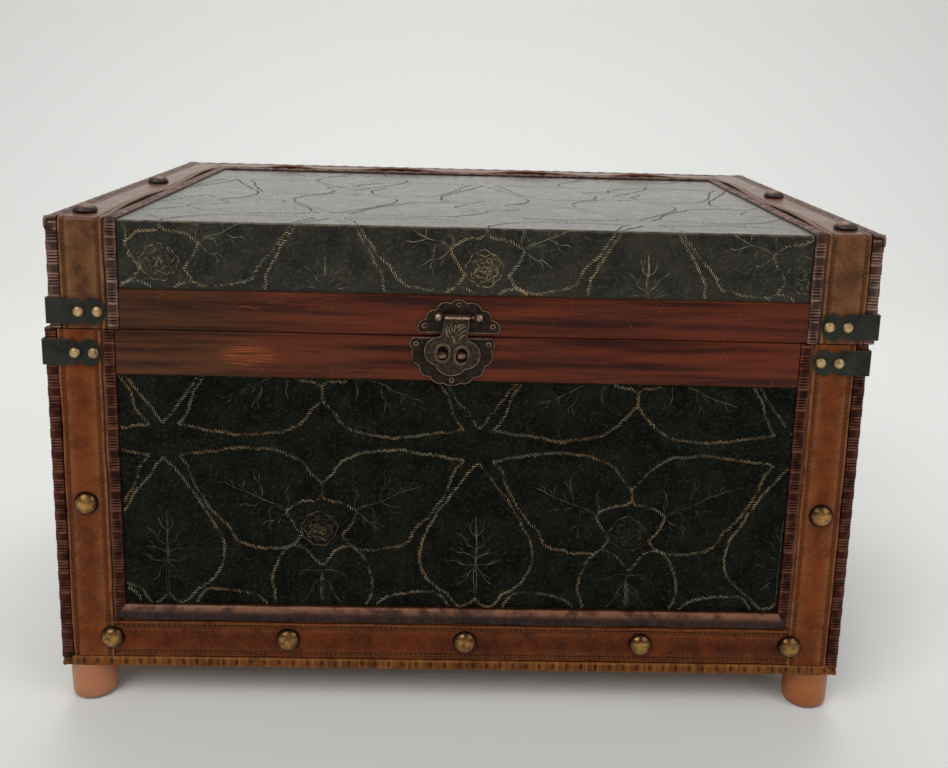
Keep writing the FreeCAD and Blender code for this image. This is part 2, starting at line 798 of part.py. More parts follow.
def leaf(direction):
    """A hinge leaf below (-1) or above (1) the pin's height 0, against the back face."""
    reach = hinge_knuckle_radius + knuckle_gap
    low, high = sorted((direction * leaf_gap / 2, direction * leaf_height))
    plate = slab(-leaf_width / 2, leaf_width / 2, low, high, band_thick, band_thick + leaf_thick)
    inner = middle_knuckle / 2 - knuckle_gap / 2
    outer = middle_knuckle / 2 + knuckle_gap / 2
    spans = ((-leaf_width / 2, -outer), (outer, leaf_width / 2)) if direction < 0 else ((-inner, inner),)
    gaps = ((-outer, outer),) if direction < 0 else ((-leaf_width / 2, -inner), (inner, leaf_width / 2))
    for x0, x1 in gaps:
        z0, z1 = sorted((-direction * reach, direction * reach))
        plate = plate.cut(slab(x0, x1, z0, z1, 0, hinge_out))
    rolls = [Part.makeCylinder(hinge_knuckle_radius, x1 - x0, V(x0, -hinge_out, 0), V(1, 0, 0)) for x0, x1 in spans]
    bore = Part.makeCylinder(hinge_pin_radius + pin_clearance, leaf_width, V(-leaf_width / 2, -hinge_out, 0), V(1, 0, 0))
    return plate.fuse(rolls).cut(bore)


def hinge_nails(direction):
    """The four nails in the two hinges' lower (-1) or upper (1) leaves, and their shanks."""
    nail = domed_nail(hinge_nail_radius, hinge_nail_dome, hinge_nail_shank, hinge_nail_length)
    level = (base_top + lid_bottom) / 2 + direction * hinge_nail_height
    xs = [hinge * hinge_place + side * hinge_nail_place for hinge in (-1, 1) for side in (-1, 1)]
    return nails_on_face(nail, [(x, level) for x in xs], band_thick + leaf_thick, "back", 0)


def on_back(shape, side):
    """Carries a hinge piece onto the back, at its place along the chest."""
    placed = shape.copy()
    placed.translate(V(side * hinge_place, 0, (base_top + lid_bottom) / 2))
    return on_face(placed, "back", 0)


def hinge_pin():
    return Part.makeCylinder(hinge_pin_radius, leaf_width, V(-leaf_width / 2, -hinge_out, 0), V(1, 0, 0))


# The three bodies

def plate_nail_places(half, height, shares, low, direction):
    """The nails of a latch plate, from shares of its half width and height."""
    return [(a * half, low + direction * b * height) for a, b in shares]


def base_nodes():
    """Every node of the base."""
    nodes = {name: [board] for name, board in base_boards().items()}
    high = base_band_low - seat_gap
    for face in ("front", "back"):
        nodes["base_%s_band" % face] = [band(face, base_band_low, base_top, base_x)]
        nodes["base_%s_panel" % face] = [panel(face, bead_high + seat_gap, high, base_x)]
    sides = ("left", "right")
    nodes["base_side_bands"] = [band(face, base_band_low, base_top, base_x) for face in sides]
    nodes["base_side_panels"] = [panel(face, bead_high + seat_gap, high, base_x) for face in sides]
    nodes["base_corner_welts"] = base_corner_welts()
    nodes["base_inner_welts"] = [piece for face in FACES for piece in base_inner_welts(face)]
    nodes["base_bottom_welts"] = [bottom_welt(face) for face in FACES]
    uprights = [upright_straps(face, bottom_strap_low, base_top, base_x) for face in FACES]
    nodes["base_corner_straps"] = [strap for pair in uprights for strap in pair]
    nodes["base_bottom_straps"] = [bottom_strap(face) for face in FACES]
    heights = {"left": base_top - base_tab_drop_left, "right": base_top - base_tab_drop_right}
    nodes["base_corner_tabs"] = tabs(heights, base_x)
    small = domed_nail(small_head_radius, small_head_height, small_shank, shank_length)
    large = domed_nail(large_head_radius, large_head_height, large_shank, shank_length)
    tools, fixings = [], {"base_tab_nails": [], "base_strap_nails": []}
    for face in FACES:
        for name, nail, places, seat in (
                ("base_tab_nails", small, tab_nail_places(face, heights), strap_thick + tab_thick),
                ("base_strap_nails", large, base_nail_places(face), strap_thick)):
            nails, shanks = nails_on_face(nail, places, seat, face, base_x)
            fixings[name] += nails
            tools += shanks
    fixings["feet"], fixings["foot_nails"], shanks = feet_and_nails()
    tools += shanks
    latch_x = base_x + lower_plate_x
    nodes["latch_lower_plate"] = [on_face(lower_plate(), "front", latch_x)]
    eyes = [eye(side * eye_place, eye_z) for side in (-1, 1)]
    fixings["padlock_eyes"] = [on_face(piece[0], "front", latch_x) for piece in eyes]
    tools += [on_face(piece[1], "front", latch_x) for piece in eyes]
    rivet = domed_nail(rivet_head_radius, rivet_head_height, rivet_shank, rivet_length)
    places = plate_nail_places(lower_plate_half, lower_plate_height, LOWER_NAIL_SHARES,
                               base_top - lower_plate_drop, -1)
    fixings["latch_lower_nails"], shanks = nails_on_face(rivet, places, plate_face, "front", latch_x)
    tools += shanks
    nodes["hinge_lower_leaves"] = [on_back(leaf(-1), side) for side in (-1, 1)]
    fixings["hinge_pins"] = [on_back(hinge_pin(), side) for side in (-1, 1)]
    fixings["hinge_lower_nails"], shanks = hinge_nails(-1)
    return nodes, fixings, tools + shanks


def lid_nodes():
    """Every node of the lid."""
    nodes = {name: [board] for name, board in lid_boards().items()}
    low, high = lid_band_high + seat_gap, edge_welt_low - seat_gap
    for face in ("front", "back"):
        nodes["lid_%s_band" % face] = [band(face, lid_bottom, lid_band_high, lid_x)]
    sides = ("left", "right")
    nodes["lid_side_bands"] = [band(face, lid_bottom, lid_band_high, lid_x) for face in sides]
    nodes["lid_cover_sheet"] = [cover_sheet()]
    nodes["lid_back_panel"] = [panel("back", low, high, lid_x)]
    nodes["lid_side_panels"] = [panel(face, low, high, lid_x) for face in sides]
    edge_sides, edge_back = lid_edge_welts()
    nodes["lid_edge_welts"] = edge_sides + [edge_back]
    corners = [at_corner(corner_welt(lid_bottom, lid_board_top), corner, lid_x) for corner in CORNERS]
    nodes["lid_corner_welts"] = [cut_all(corner, edge_sides) for corner in corners]
    nodes["lid_front_welts"] = lid_front_welts()
    nodes["lid_upright_welts"] = [w for face in ("right", "back", "left") for w in lid_upright_welts(face)]
    nodes["lid_top_bead"] = [top_bead()]
    nodes["lid_wrap_straps"] = lid_wrap_straps()
    uprights = [upright_straps(face, lid_bottom, high, lid_x) for face in ("right", "back", "left")]
    nodes["lid_upright_straps"] = [strap for pair in uprights for strap in pair]
    nodes["lid_back_top_strap"] = [back_top_strap()]
    heights = {"left": lid_bottom + lid_tab_lift, "right": lid_bottom + lid_tab_lift}
    nodes["lid_corner_tabs"] = tabs(heights, lid_x)
    small = domed_nail(small_head_radius, small_head_height, small_shank, shank_length)
    large = domed_nail(large_head_radius, large_head_height, large_shank, shank_length)
    fixings = {"lid_tab_nails": []}
    fixings["lid_strap_nails"], tools = lid_nails(large)
    for face in FACES:
        places = tab_nail_places(face, heights)
        nails, shanks = nails_on_face(small, places, strap_thick + tab_thick, face, lid_x)
        fixings["lid_tab_nails"] += nails
        tools += shanks
    latch_x = lid_x + upper_plate_x
    nodes["latch_upper_plate"] = [on_face(upper_plate(), "front", latch_x)]
    fixings["latch_pin"] = [on_face(latch_pin(), "front", latch_x)]
    rivet = domed_nail(rivet_head_radius, rivet_head_height, rivet_shank, rivet_length)
    places = plate_nail_places(upper_plate_half, upper_plate_height, UPPER_NAIL_SHARES,
                               lid_bottom + upper_plate_lift, 1)
    fixings["latch_upper_nails"], shanks = nails_on_face(rivet, places, plate_face, "front", latch_x)
    tools += shanks
    nodes["hinge_upper_leaves"] = [on_back(leaf(1), side) for side in (-1, 1)]
    fixings["hinge_upper_nails"], shanks = hinge_nails(1)
    return nodes, fixings, tools + shanks


def hasp_node():
    placed = hasp()
    placed.translate(V(0, 0, pin_z))
    return on_face(placed, "front", hasp_x)


for nodes, fixings, tools in (base_nodes(), lid_nodes()):
    for name, pieces in nodes.items():
        save(name, [cut_all(piece, tools) for piece in pieces])
    for name, pieces in fixings.items():
        save(name, pieces)
save("latch_hasp", [hasp_node()])
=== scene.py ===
# The dressed chest: embossed leather, stitched straps, ribbed welts, polished wood bands,
# domed nails, the latch and the hinges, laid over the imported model. Sizes in this file are
# millimetres in the model's own frame; a mesh is turned to metres when it is made.

import json
import math
import random

import bmesh
import bpy
import numpy as np
from mathutils import Matrix, Vector, noise

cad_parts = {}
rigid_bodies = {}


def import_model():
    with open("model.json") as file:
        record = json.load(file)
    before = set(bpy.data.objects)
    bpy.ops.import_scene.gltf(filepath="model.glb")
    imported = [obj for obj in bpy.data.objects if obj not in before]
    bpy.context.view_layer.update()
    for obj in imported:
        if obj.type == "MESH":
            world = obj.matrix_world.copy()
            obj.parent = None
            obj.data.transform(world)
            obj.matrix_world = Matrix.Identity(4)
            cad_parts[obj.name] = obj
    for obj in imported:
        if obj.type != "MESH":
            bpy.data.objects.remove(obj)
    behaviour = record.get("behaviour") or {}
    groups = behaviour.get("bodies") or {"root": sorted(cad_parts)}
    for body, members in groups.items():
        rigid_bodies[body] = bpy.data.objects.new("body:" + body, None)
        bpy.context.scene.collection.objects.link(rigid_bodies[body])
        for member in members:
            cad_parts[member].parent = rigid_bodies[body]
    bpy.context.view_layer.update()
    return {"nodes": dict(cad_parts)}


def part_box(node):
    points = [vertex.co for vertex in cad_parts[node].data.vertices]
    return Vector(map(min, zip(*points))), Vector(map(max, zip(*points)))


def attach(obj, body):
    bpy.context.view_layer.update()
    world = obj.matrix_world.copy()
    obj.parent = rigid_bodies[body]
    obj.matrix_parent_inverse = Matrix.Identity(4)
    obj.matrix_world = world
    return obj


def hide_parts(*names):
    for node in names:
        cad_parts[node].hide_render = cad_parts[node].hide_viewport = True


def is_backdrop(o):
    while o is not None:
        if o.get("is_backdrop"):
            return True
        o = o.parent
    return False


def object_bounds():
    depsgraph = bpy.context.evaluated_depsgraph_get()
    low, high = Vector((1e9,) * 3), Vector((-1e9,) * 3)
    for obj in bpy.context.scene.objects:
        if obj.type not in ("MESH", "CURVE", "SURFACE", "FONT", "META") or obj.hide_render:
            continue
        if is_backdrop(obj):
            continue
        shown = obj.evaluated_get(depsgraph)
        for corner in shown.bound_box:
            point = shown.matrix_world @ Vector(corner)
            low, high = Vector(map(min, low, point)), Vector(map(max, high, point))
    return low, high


for left_over in list(bpy.data.objects):
    bpy.data.objects.remove(left_over)

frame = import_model()

MM = 0.001
UP = np.array((0.0, 0.0, 1.0))
QUARTER = math.pi / 2
TINY = 1e-6
chance = random.Random(21)


# Reading places from the model


def box_mm(*nodes):
    """Lowest and highest corner over some nodes, in millimetres."""
    boxes = [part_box(node) for node in nodes]
    low = np.min([np.array(low) for low, high in boxes], axis=0)
    high = np.max([np.array(high) for low, high in boxes], axis=0)
    return low / MM, high / MM


def islands(node):
    """Lowest and highest corner of each separate solid of a node, in millimetres."""
    work = bmesh.new()
    work.from_mesh(frame["nodes"][node].data)
    bmesh.ops.remove_doubles(work, verts=work.verts, dist=TINY)
    seen, found = set(), []
    for start in work.verts:
        if start in seen:
            continue
        seen.add(start)
        stack, members = [start], []
        while stack:
            vert = stack.pop()
            members.append(np.array(vert.co))
            for edge in vert.link_edges:
                other = edge.other_vert(vert)
                if other not in seen:
                    seen.add(other)
                    stack.append(other)
        members = np.array(members) / MM
        found.append((members.min(0), members.max(0)))
    work.free()
    return found


class Side:
    """One upright side of the boards: along is level, out points away from the boards."""

    def __init__(self, turn, low, high):
        self.turn = turn
        angle = turn * QUARTER
        self.along = np.round((math.cos(angle), math.sin(angle), 0.0))
        self.out = np.round((math.sin(angle), -math.cos(angle), 0.0))
        self.middle = (low + high) / 2 * (1, 1, 0)
        half = (high - low) / 2
        self.reach = abs(half @ self.out)
        self.half = abs(half @ self.along)

    def at(self, u, z, out):
        u, z, out = np.broadcast_arrays(u, z, out)
        level = self.middle + u[..., None] * self.along + z[..., None] * UP
        return level + (self.reach + out)[..., None] * self.out


BOARDS = {
    "box": box_mm("base_front_board", "base_back_board", "base_floor_board"),
    "lid": box_mm("lid_front_rail", "lid_back_rail", "lid_top_board"),
}
lid_low, lid_high = BOARDS["lid"]
base_sides = [Side(turn, *BOARDS["box"]) for turn in range(4)]
lid_sides = [Side(turn, *BOARDS["lid"]) for turn in range(4)]
lid_front = lid_sides[0]
lid_half = lid_front.half
top_z = lid_high[2]

# Sizes shared by several pieces; middles and insets are counted from the boards' corner
STRAP_THICK = 2.4
STRAP_WIDTH = 22.7
CORNER_LEG = 4.3
STRAP_MIDDLE = CORNER_LEG + STRAP_WIDTH / 2
WELT_WIDTH = 6.0
WELT_THICK = 2.8
WELT_MIDDLE = 31.0
FIELD_INSET = 34.2

# Heights where the leather of the box and the lid begins and ends
STRAP_LOW, BASE_TOP = 28.5, 213.3
LID_LOW, LID_SIDE_TOP = 213.9, 265.6


# Lines, rings and smooth noise


def circle(sides, start=0.0):
    """Angles of the points of a ring."""
    return np.arange(sides) / sides * 2 * math.pi + start


def lengths_along(line):
    """The distance along a line at each of its points."""
    return np.concatenate([[0], np.cumsum(np.linalg.norm(np.diff(line, axis=0), axis=1))])


def read_line(values, along, places):
    """The values of a line's points, read at other places along it."""
    return np.stack([np.interp(places, along, part) for part in values.T], axis=1)


def to_left(direction):
    """Unit vectors to the left of a flat line's directions."""
    unit = direction / np.maximum(np.linalg.norm(direction, axis=1), 1e-9)[:, None]
    return np.stack([-unit[:, 1], unit[:, 0]], axis=1)


def smooth_noise(points, reach, seed):
    """Noise from -1 to 1 at flat points, in waves as long as reach."""
    return np.array([noise.noise(Vector((u / reach, t / reach, seed))) for u, t in points])


def wander(places, seed, size, reach):
    """A smooth random line along a track."""
    return np.array([noise.noise(Vector((p / reach, seed * 7.3, 0.5))) for p in places]) * size


def flowing(points, step):
    """A smooth line through points, with places a step apart."""
    points = np.asarray(points, float)
    before, after = 2 * points[0] - points[1], 2 * points[-1] - points[-2]
    padded = np.concatenate([[before], points, [after]])
    line = []
    for a, b, c, d in zip(padded, padded[1:], padded[2:], padded[3:]):
        square, cube = 2 * a - 5 * b + 4 * c - d, 3 * b - a - 3 * c + d
        for t in np.linspace(0, 1, 12, endpoint=False):
            line.append(0.5 * (2 * b + (c - a) * t + square * t * t + cube * t ** 3))
    line = np.array(line + [points[-1]])
    along = lengths_along(line)
    return read_line(line, along, np.linspace(0, along[-1], max(3, int(along[-1] / step))))


# Gathering points and faces of a piece


def skin_quads(near, far):
    """Four-sided faces between rings of point numbers."""
    corners = [near, np.roll(near, -1, -1), np.roll(far, -1, -1), far]
    return np.stack(corners, axis=-1).reshape(-1, 4)


def signed_volume(points, faces):
    """Six times the volume inside some faces, below zero where they face inwards."""
    total = 0.0
    for corners in (points[part] for part in faces):
        for k in range(1, corners.shape[1] - 1):
            total += np.einsum("ij,ij->", corners[:, 0], np.cross(corners[:, k], corners[:, k + 1]))
    return total


class Pile:
    """Points and faces of one piece, with two marks on its points: one lightens where it is worn and where a
    highlight is painted, the other darkens where it is dirty and where shade is painted.
    """

    def __init__(self):
        self.points, self.faces, self.rub, self.grime_and_shade = [], [], [], []
        self.count = 0

    def keep(self, points, faces, inside_out, rub, grime_and_shade):
        points = points.reshape(-1, 3)
        self.points.append(points)
        self.faces.extend((part[:, ::-1] if inside_out else part) + self.count for part in faces)
        for marks, values in ((self.rub, rub), (self.grime_and_shade, grime_and_shade)):
            marks.append(np.broadcast_to(np.ravel(values) if np.ndim(values) else values, len(points)))
        self.count += len(points)

    def loft(self, rings, rub=0.0, grime_and_shade=0.0, ring_closed=False):
        """A skin over closed rings of points, capped at both ends unless the rings go round."""
        n, m, _ = rings.shape
        ids = np.arange(n * m).reshape(n, m)
        if ring_closed:
            faces = [skin_quads(ids, np.roll(ids, -1, 0))]
        else:
            faces = [skin_quads(ids[:-1], ids[1:]), np.stack([ids[0][::-1], ids[-1]])]
        self.keep(rings, faces, signed_volume(rings.reshape(-1, 3), faces) < 0, rub, grime_and_shade)

    def many(self, rings, rub=0.0):
        """Many small lofts of one kind at once: an array (pieces, rings, points, 3)."""
        k, n, m, _ = rings.shape
        ids = np.arange(k * n * m).reshape(k, n, m)
        faces = [skin_quads(ids[:, :-1], ids[:, 1:]), np.concatenate([ids[:, 0, ::-1], ids[:, -1]])]
        first = rings[0].reshape(-1, 3)
        volume = signed_volume(first - first.mean(0), [faces[0][:(n - 1) * m]])
        self.keep(rings, faces, volume <= 0, rub, 0.0)


def make_mesh(name, pile, angle):
    points = np.concatenate(pile.points) * MM
    mesh = bpy.data.meshes.new(name)
    corners = np.concatenate([part.ravel() for part in pile.faces])
    totals = np.concatenate([np.full(len(part), part.shape[1]) for part in pile.faces])
    starts = np.concatenate([[0], np.cumsum(totals)[:-1]])
    mesh.vertices.add(len(points))
    mesh.vertices.foreach_set("co", points.astype(np.float32).ravel())
    mesh.loops.add(len(corners))
    mesh.loops.foreach_set("vertex_index", corners.astype(np.int32))
    mesh.polygons.add(len(totals))
    mesh.polygons.foreach_set("loop_start", starts.astype(np.int32))
    mesh.update(calc_edges=True)
    mesh.validate()
    for title, values in (("rub", pile.rub), ("grime_and_shade", pile.grime_and_shade)):
        layer = mesh.attributes.new(title, "FLOAT", "POINT")
        layer.data.foreach_set("value", np.concatenate(values).astype(np.float32))
    mesh.shade_smooth()
    mesh.set_sharp_from_angle(angle=math.radians(angle))
    return mesh


def show(name, mesh):
    piece = bpy.data.objects.new(name, mesh)
    bpy.context.scene.collection.objects.link(piece)
    return piece


def place(name, pile, body, material, nodes=(), angle=50):
    """Makes a piece of a pile and has it ride a body, in the stead of some nodes."""
    piece = show(name, make_mesh(name, pile, angle))
    piece.data.materials.append(material)
    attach(piece, body)
    if nodes:
        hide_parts(*nodes)
    return piece


OVER_TOP = 0.35    # how far over the top board a face's middle is when it lies on the top


def on_top(piece, finish):
    """The faces that lie on the lid's top get the finish of leather polished by hands."""
    mesh = piece.data
    mesh.materials.append(finish)
    centres = np.zeros(len(mesh.polygons) * 3, np.float32)
    mesh.polygons.foreach_get("center", centres)
    upper = centres[2::3] / MM > top_z + OVER_TOP
    mesh.polygons.foreach_set("material_index", upper.astype(np.int32))
    mesh.update()


# Tracks: lines along the chest with a direction across and a direction out

TURN_WEIGHT = 1.5       # millimetres that a change of direction counts for along a track
BEND_STEP = 0.35        # between places in a bend
BEND_PLACES = 9
BEND_CREEP = 0.002      # keeps the places of a sharp bend apart


class Track:
    def __init__(self, origins, across, out):
        self.origins = np.asarray(origins, float)
        self.across = np.broadcast_to(across, self.origins.shape).astype(float)
        self.out = np.broadcast_to(out, self.origins.shape).astype(float)
        steps = np.linalg.norm(np.diff(self.origins, axis=0), axis=1)
        turns = np.linalg.norm(np.diff(self.out, axis=0), axis=1) * TURN_WEIGHT
        self.along = np.concatenate([[0], np.cumsum(steps + turns)])

    def at(self, places):
        """The track read at other places along it."""
        origins, across, out = (
            read_line(values, self.along, places) for values in (self.origins, self.across, self.out)
        )
        made = Track(origins, across, out / np.linalg.norm(out, axis=1)[:, None])
        made.along = np.asarray(places, float)
        return made

    def dense(self, step):
        """The track with places a step apart, and close together in a bend."""
        end = self.along[-1]
        if len(self.origins) == 2:
            return self.at(np.linspace(0, end, max(2, int(round(end / step)) + 1)))
        places = [0.0]
        while places[-1] < end - TINY:
            here = places[-1]
            ahead = min(np.searchsorted(self.along, here, side="right"), len(self.along) - 1)
            if np.linalg.norm(self.out[ahead] - self.out[ahead - 1]) > 0.01:
                there = here + BEND_STEP
            elif self.along[ahead] > here + TINY:
                there = min(here + step, self.along[ahead])
            else:
                there = here + step
            places.append(min(there, end))
        return self.at(np.array(places))

    def rings(self, profile):
        """profile is (places, points, 2): across and out at each place."""
        across = profile[..., 0:1] * self.across[:, None]
        return self.origins[:, None] + across + profile[..., 1:2] * self.out[:, None]


def upright_track(side, u, low, high):
    """Up a side, from one height to another, u from its middle."""
    return Track(side.at(np.array((u, u)), np.array((low, high)), 0.0), side.along, side.out)


def level_track(side, z, half):
    """Along a side at one height, as far on both sides of its middle."""
    return Track(side.at(np.array((-half, half)), np.array((z, z)), 0.0), UP, side.out)


def over_edge_track(u, run):
    """Up the lid's front, round its edge, and back over the top for a run."""
    side = lid_front
    corner = side.at(np.array(u), np.array(top_z), 0.0)
    origins, outs = [side.at(np.array(u), np.array(LID_LOW), 0.0)], [side.out]
    for step in range(BEND_PLACES):
        turn = step / (BEND_PLACES - 1) * QUARTER
        origins.append(corner - side.out * step * BEND_CREEP)
        outs.append(side.out * math.cos(turn) + UP * math.sin(turn))
    return Track(origins + [corner - side.out * run], side.along, outs + [UP])


def over_top_track(half, y):
    """Across the lid's top at one depth; its across direction points to the front."""
    middle_x = lid_front.middle[0]
    return Track([(middle_x - half, y, top_z), (middle_x + half, y, top_z)], (0, -1, 0), UP)


def corner_track(body, corner, low, high):
    """Up an upright edge of the boards. across runs inwards along one face, out leaves it."""
    way_x, way_y = ((-1, -1), (1, -1), (1, 1), (-1, 1))[corner]
    x = BOARDS[body][way_x > 0][0]
    y = BOARDS[body][way_y > 0][1]
    return Track([(x, y, low), (x, y, high)], (-way_x, 0, 0), (0, way_y, 0))


# Strap leather: padded strips with a row of stitches inside each edge

STITCH_INSET = 2.6
STITCH_PITCH = 2.75
STITCH_LENGTH = 1.9
STITCH_RADIUS = 0.36
STITCH_HEIGHT = 1.82
EDGE_REACH = 3.0        # from a strap's edge to where its waver ends
WAVER = 0.55


def strap_section(width):
    """A strap's outline, one row per point: across, out, lightening where its edges are worn, and darkening
    that is painted shade at its foot and in its stitch grooves.
    """
    half = width / 2
    seam = half - STITCH_INSET
    left = np.array([
        (half - 0.25, 0.08, 0.0, 0.9),
        (half, 0.7, 0.0, 0.6),
        (half, 1.45, 0.3, 0.1),
        (half - 0.35, 2.05, 0.5, 0.0),
        (half - 1.0, 2.3, 0.35, 0.0),
        (half - 1.7, 2.2, 0.1, 0.2),
        (seam + 0.45, 1.8, 0.0, 0.25),
        (seam, 1.62, 0.0, 0.55),
        (seam - 0.45, 1.8, 0.0, 0.25),
        (seam - 1.0, 2.15, 0.15, 0.25),
        (seam - 1.9, 2.33, 0.25, 0.0),
        (half * 0.42, 2.3, 0.1, 0.0),
        (half * 0.15, 2.28, 0.0, 0.0),
    ])
    return np.concatenate([left * (-1, 1, 1, 1), left[::-1]])


def lay_strap(leather, thread, track, width, seed, lift=None, edge_side=1):
    """One strap on a track. lift, where given, says how far one edge stands off, place by place."""
    dense = track.dense(3.0)
    across, out, rub, grime_and_shade = strap_section(width).T
    n = len(dense.origins)
    edge = np.clip((np.abs(across) - width / 2 + EDGE_REACH) / EDGE_REACH, 0, 1)
    wavers = [wander(dense.along, s, WAVER, 24)[:, None] for s in (seed, seed + 9)]
    shift = np.where(across > 0, wavers[0], wavers[1]) * edge - 0.25 * edge * np.sign(across)
    swell = wander(dense.along, seed + 3, 0.3, 18)[:, None]
    height = out + (swell * np.clip(out / STRAP_THICK, 0, 1) - 0.05)
    if lift is not None:
        lean = np.clip(edge_side * across / width + 0.5, 0, 1) ** 2.2
        height = height + lift(dense.along)[:, None] * lean
    profile = np.stack([across + shift, height], axis=-1)
    leather.loft(dense.rings(profile), np.tile(rub, n), np.tile(grime_and_shade, n))
    for sign in (-1, 1):
        offset = sign * (width / 2 - STITCH_INSET - 0.1)
        sew_row(thread, dense, offset, STITCH_HEIGHT, seed, lift if sign == edge_side else None)


def sew_row(thread, track, offset, depth, seed, lift=None, pitch=STITCH_PITCH, length=STITCH_LENGTH):
    """A row of stitches, each a small rounded bar."""
    total = track.along[-1]
    count = max(1, int((total - 3.0) / pitch))
    starts = (total - count * pitch) / 2 + pitch * (np.arange(count) + 0.5)
    wobble = np.array([chance.uniform(-1, 1) for _ in range(3 * count)]).reshape(count, 3)
    aside = (offset + wander(starts, seed + (5 if offset > 0 else 6), 0.3, 24))[:, None]
    rise = np.broadcast_to(depth + (0.0 if lift is None else lift(starts) * 0.75), count)[:, None]
    here, ahead, behind = (
        track.at(places) for places in (starts, np.minimum(starts + 0.4, total), np.maximum(starts - 0.4, 0))
    )
    middle, front, back = (t.origins + aside * t.across + rise * t.out for t in (here, ahead, behind))
    direction = (front - back) / np.maximum(np.linalg.norm(front - back, axis=1), 1e-9)[:, None]
    direction = direction + here.across * wobble[:, :1] * 0.07
    spans = np.array((-1.0, -0.72, 0.72, 1.0)) * length / 2
    radii = np.array((0.45, 1.0, 1.0, 0.45)) * STITCH_RADIUS
    angles = circle(5, 0.3)
    ring = (
        np.cos(angles)[None, None, :, None] * here.across[:, None, None]
        + np.sin(angles)[None, None, :, None] * here.out[:, None, None] * 0.85
    )
    bars = middle[:, None, None] + spans[None, :, None, None] * direction[:, None, None]
    thread.many(bars + radii[None, :, None, None] * ring, 0.5 + 0.5 * np.repeat(wobble[:, 1], 20))


# Welts: each kind says its height from 0 to 1 along the welt

RIB_PITCH, CUSHION = 11.6, 6.7
SPOT_PITCH, SPOT = 7.6, 3.4


def ribs(places, shift):
    """A smooth cushion, then three ribs, over and over."""
    t = (places + shift) % RIB_PITCH
    swell = 1 - np.abs(2 * t / CUSHION - 1) ** 5
    share = np.clip((t - CUSHION) / (RIB_PITCH - CUSHION), 0, 1)
    three = np.sin(share * 3 * math.pi) ** 2 * 0.85
    return np.where(t < CUSHION, np.clip(swell, 0, 1) ** 0.6, three)


def spots(places, shift):
    """A pressed dark oval and a long pad, with a fine rib between them."""
    t = (places + 0.6 * np.sin(places / 13.0) + shift) % SPOT_PITCH
    oval = np.clip(1 - (2 * t / SPOT - 1) ** 2, 0, 1) ** 0.7
    rib = 0.45 * np.exp(-((t - SPOT - 1.1) / 0.25) ** 2)
    return 1 - np.maximum(oval, rib)


def rolled(places, shift):
    """A plain rolled edge, a little uneven."""
    return 0.985 + 0.015 * np.sin((places + shift) / 3.1) * np.sin((places + shift) / 17.0)


def crest(level):
    """Where the ribs and the cushions' rims are rubbed and given a painted highlight."""
    return np.where((level > 0.35) & (level < 0.93), 0.85, 0.06)


WELT_SHARES = np.array((-1.0, -1.0, -0.93, -0.76, -0.45, 0.0, 0.45, 0.76, 0.93, 1.0, 1.0))
WELT_LIFTS = np.array((0.04, 0.42, 0.72, 0.88, 0.97, 1.0, 0.97, 0.88, 0.72, 0.42, 0.04))
MITRE_RINGS = 6         # rings at an end that lean into its mitre


def lay_welt(pile, track, width, thick, height, shift=0.0, step=0.4, depth=0.4, mitres=None, hollow=0.9,
             painted_light=0.0):
    """A domed welt whose middle is pressed down between the ribs.

    The last argument says how strongly a highlight is painted along one side and shade along the other; on
    the level beads these are the upper and lower sides.
    """
    dense = track.dense(step)
    level = height(dense.along, shift)
    middle = np.clip((hollow - np.abs(WELT_SHARES)) / 0.3, 0, 1) ** 0.7
    waver = wander(dense.along, shift + width, 0.25, 20)[:, None] * 0.6
    across = WELT_SHARES * (width / 2 - 0.12) + waver
    out = WELT_LIFTS * thick * (1 - depth * (1 - level)[:, None] * middle)
    rings = dense.rings(np.stack([across, out], axis=-1))
    if mitres is not None:
        direction = rings[-1, 5] - rings[0, 5]
        direction /= np.linalg.norm(direction)
        near, far = (across[0][:, None] * mitre * direction for mitre in mitres)
        for i in range(MITRE_RINGS if len(rings) > 2 * MITRE_RINGS else 1):
            rings[i] += near * (1 - i / MITRE_RINGS)
            rings[-1 - i] += far * (1 - i / MITRE_RINGS)
    edges = (np.abs(WELT_SHARES) > 0.7) & (np.abs(WELT_SHARES) < 0.97)
    # Darker along the foot where the welt meets the panel: painted shade. The hollows between ribs are
    # darkened for grime and painted shade, and the ribs and rims lightened for wear and a painted highlight.
    foot = (WELT_LIFTS < 0.1) * 0.8
    rub = np.clip(crest(level)[:, None] * np.clip(WELT_LIFTS * 1.6 - 0.7, 0, 1) + edges * 0.3, 0, 1)
    grime_and_shade = np.clip((0.6 - level)[:, None] * (2.0 if hollow > 0.8 else 1.2) * middle + foot, 0, 1)
    # A painted highlight along the upper side and painted shade along the lower side, broken by specks.
    if painted_light:
        specks = wander(dense.along, shift + 2, 1.3, 1.7)[:, None]
        rub = np.clip(rub * 0.4 + painted_light * np.clip(WELT_SHARES * 1.7, 0, 1) * (WELT_LIFTS > 0.5), 0, 1)
        grime_and_shade = np.clip(grime_and_shade + painted_light * np.clip(0.2 - WELT_SHARES * 1.9, 0, 1) * (0.85 + specks), 0, 1)
    pile.loft(rings, rub, grime_and_shade)


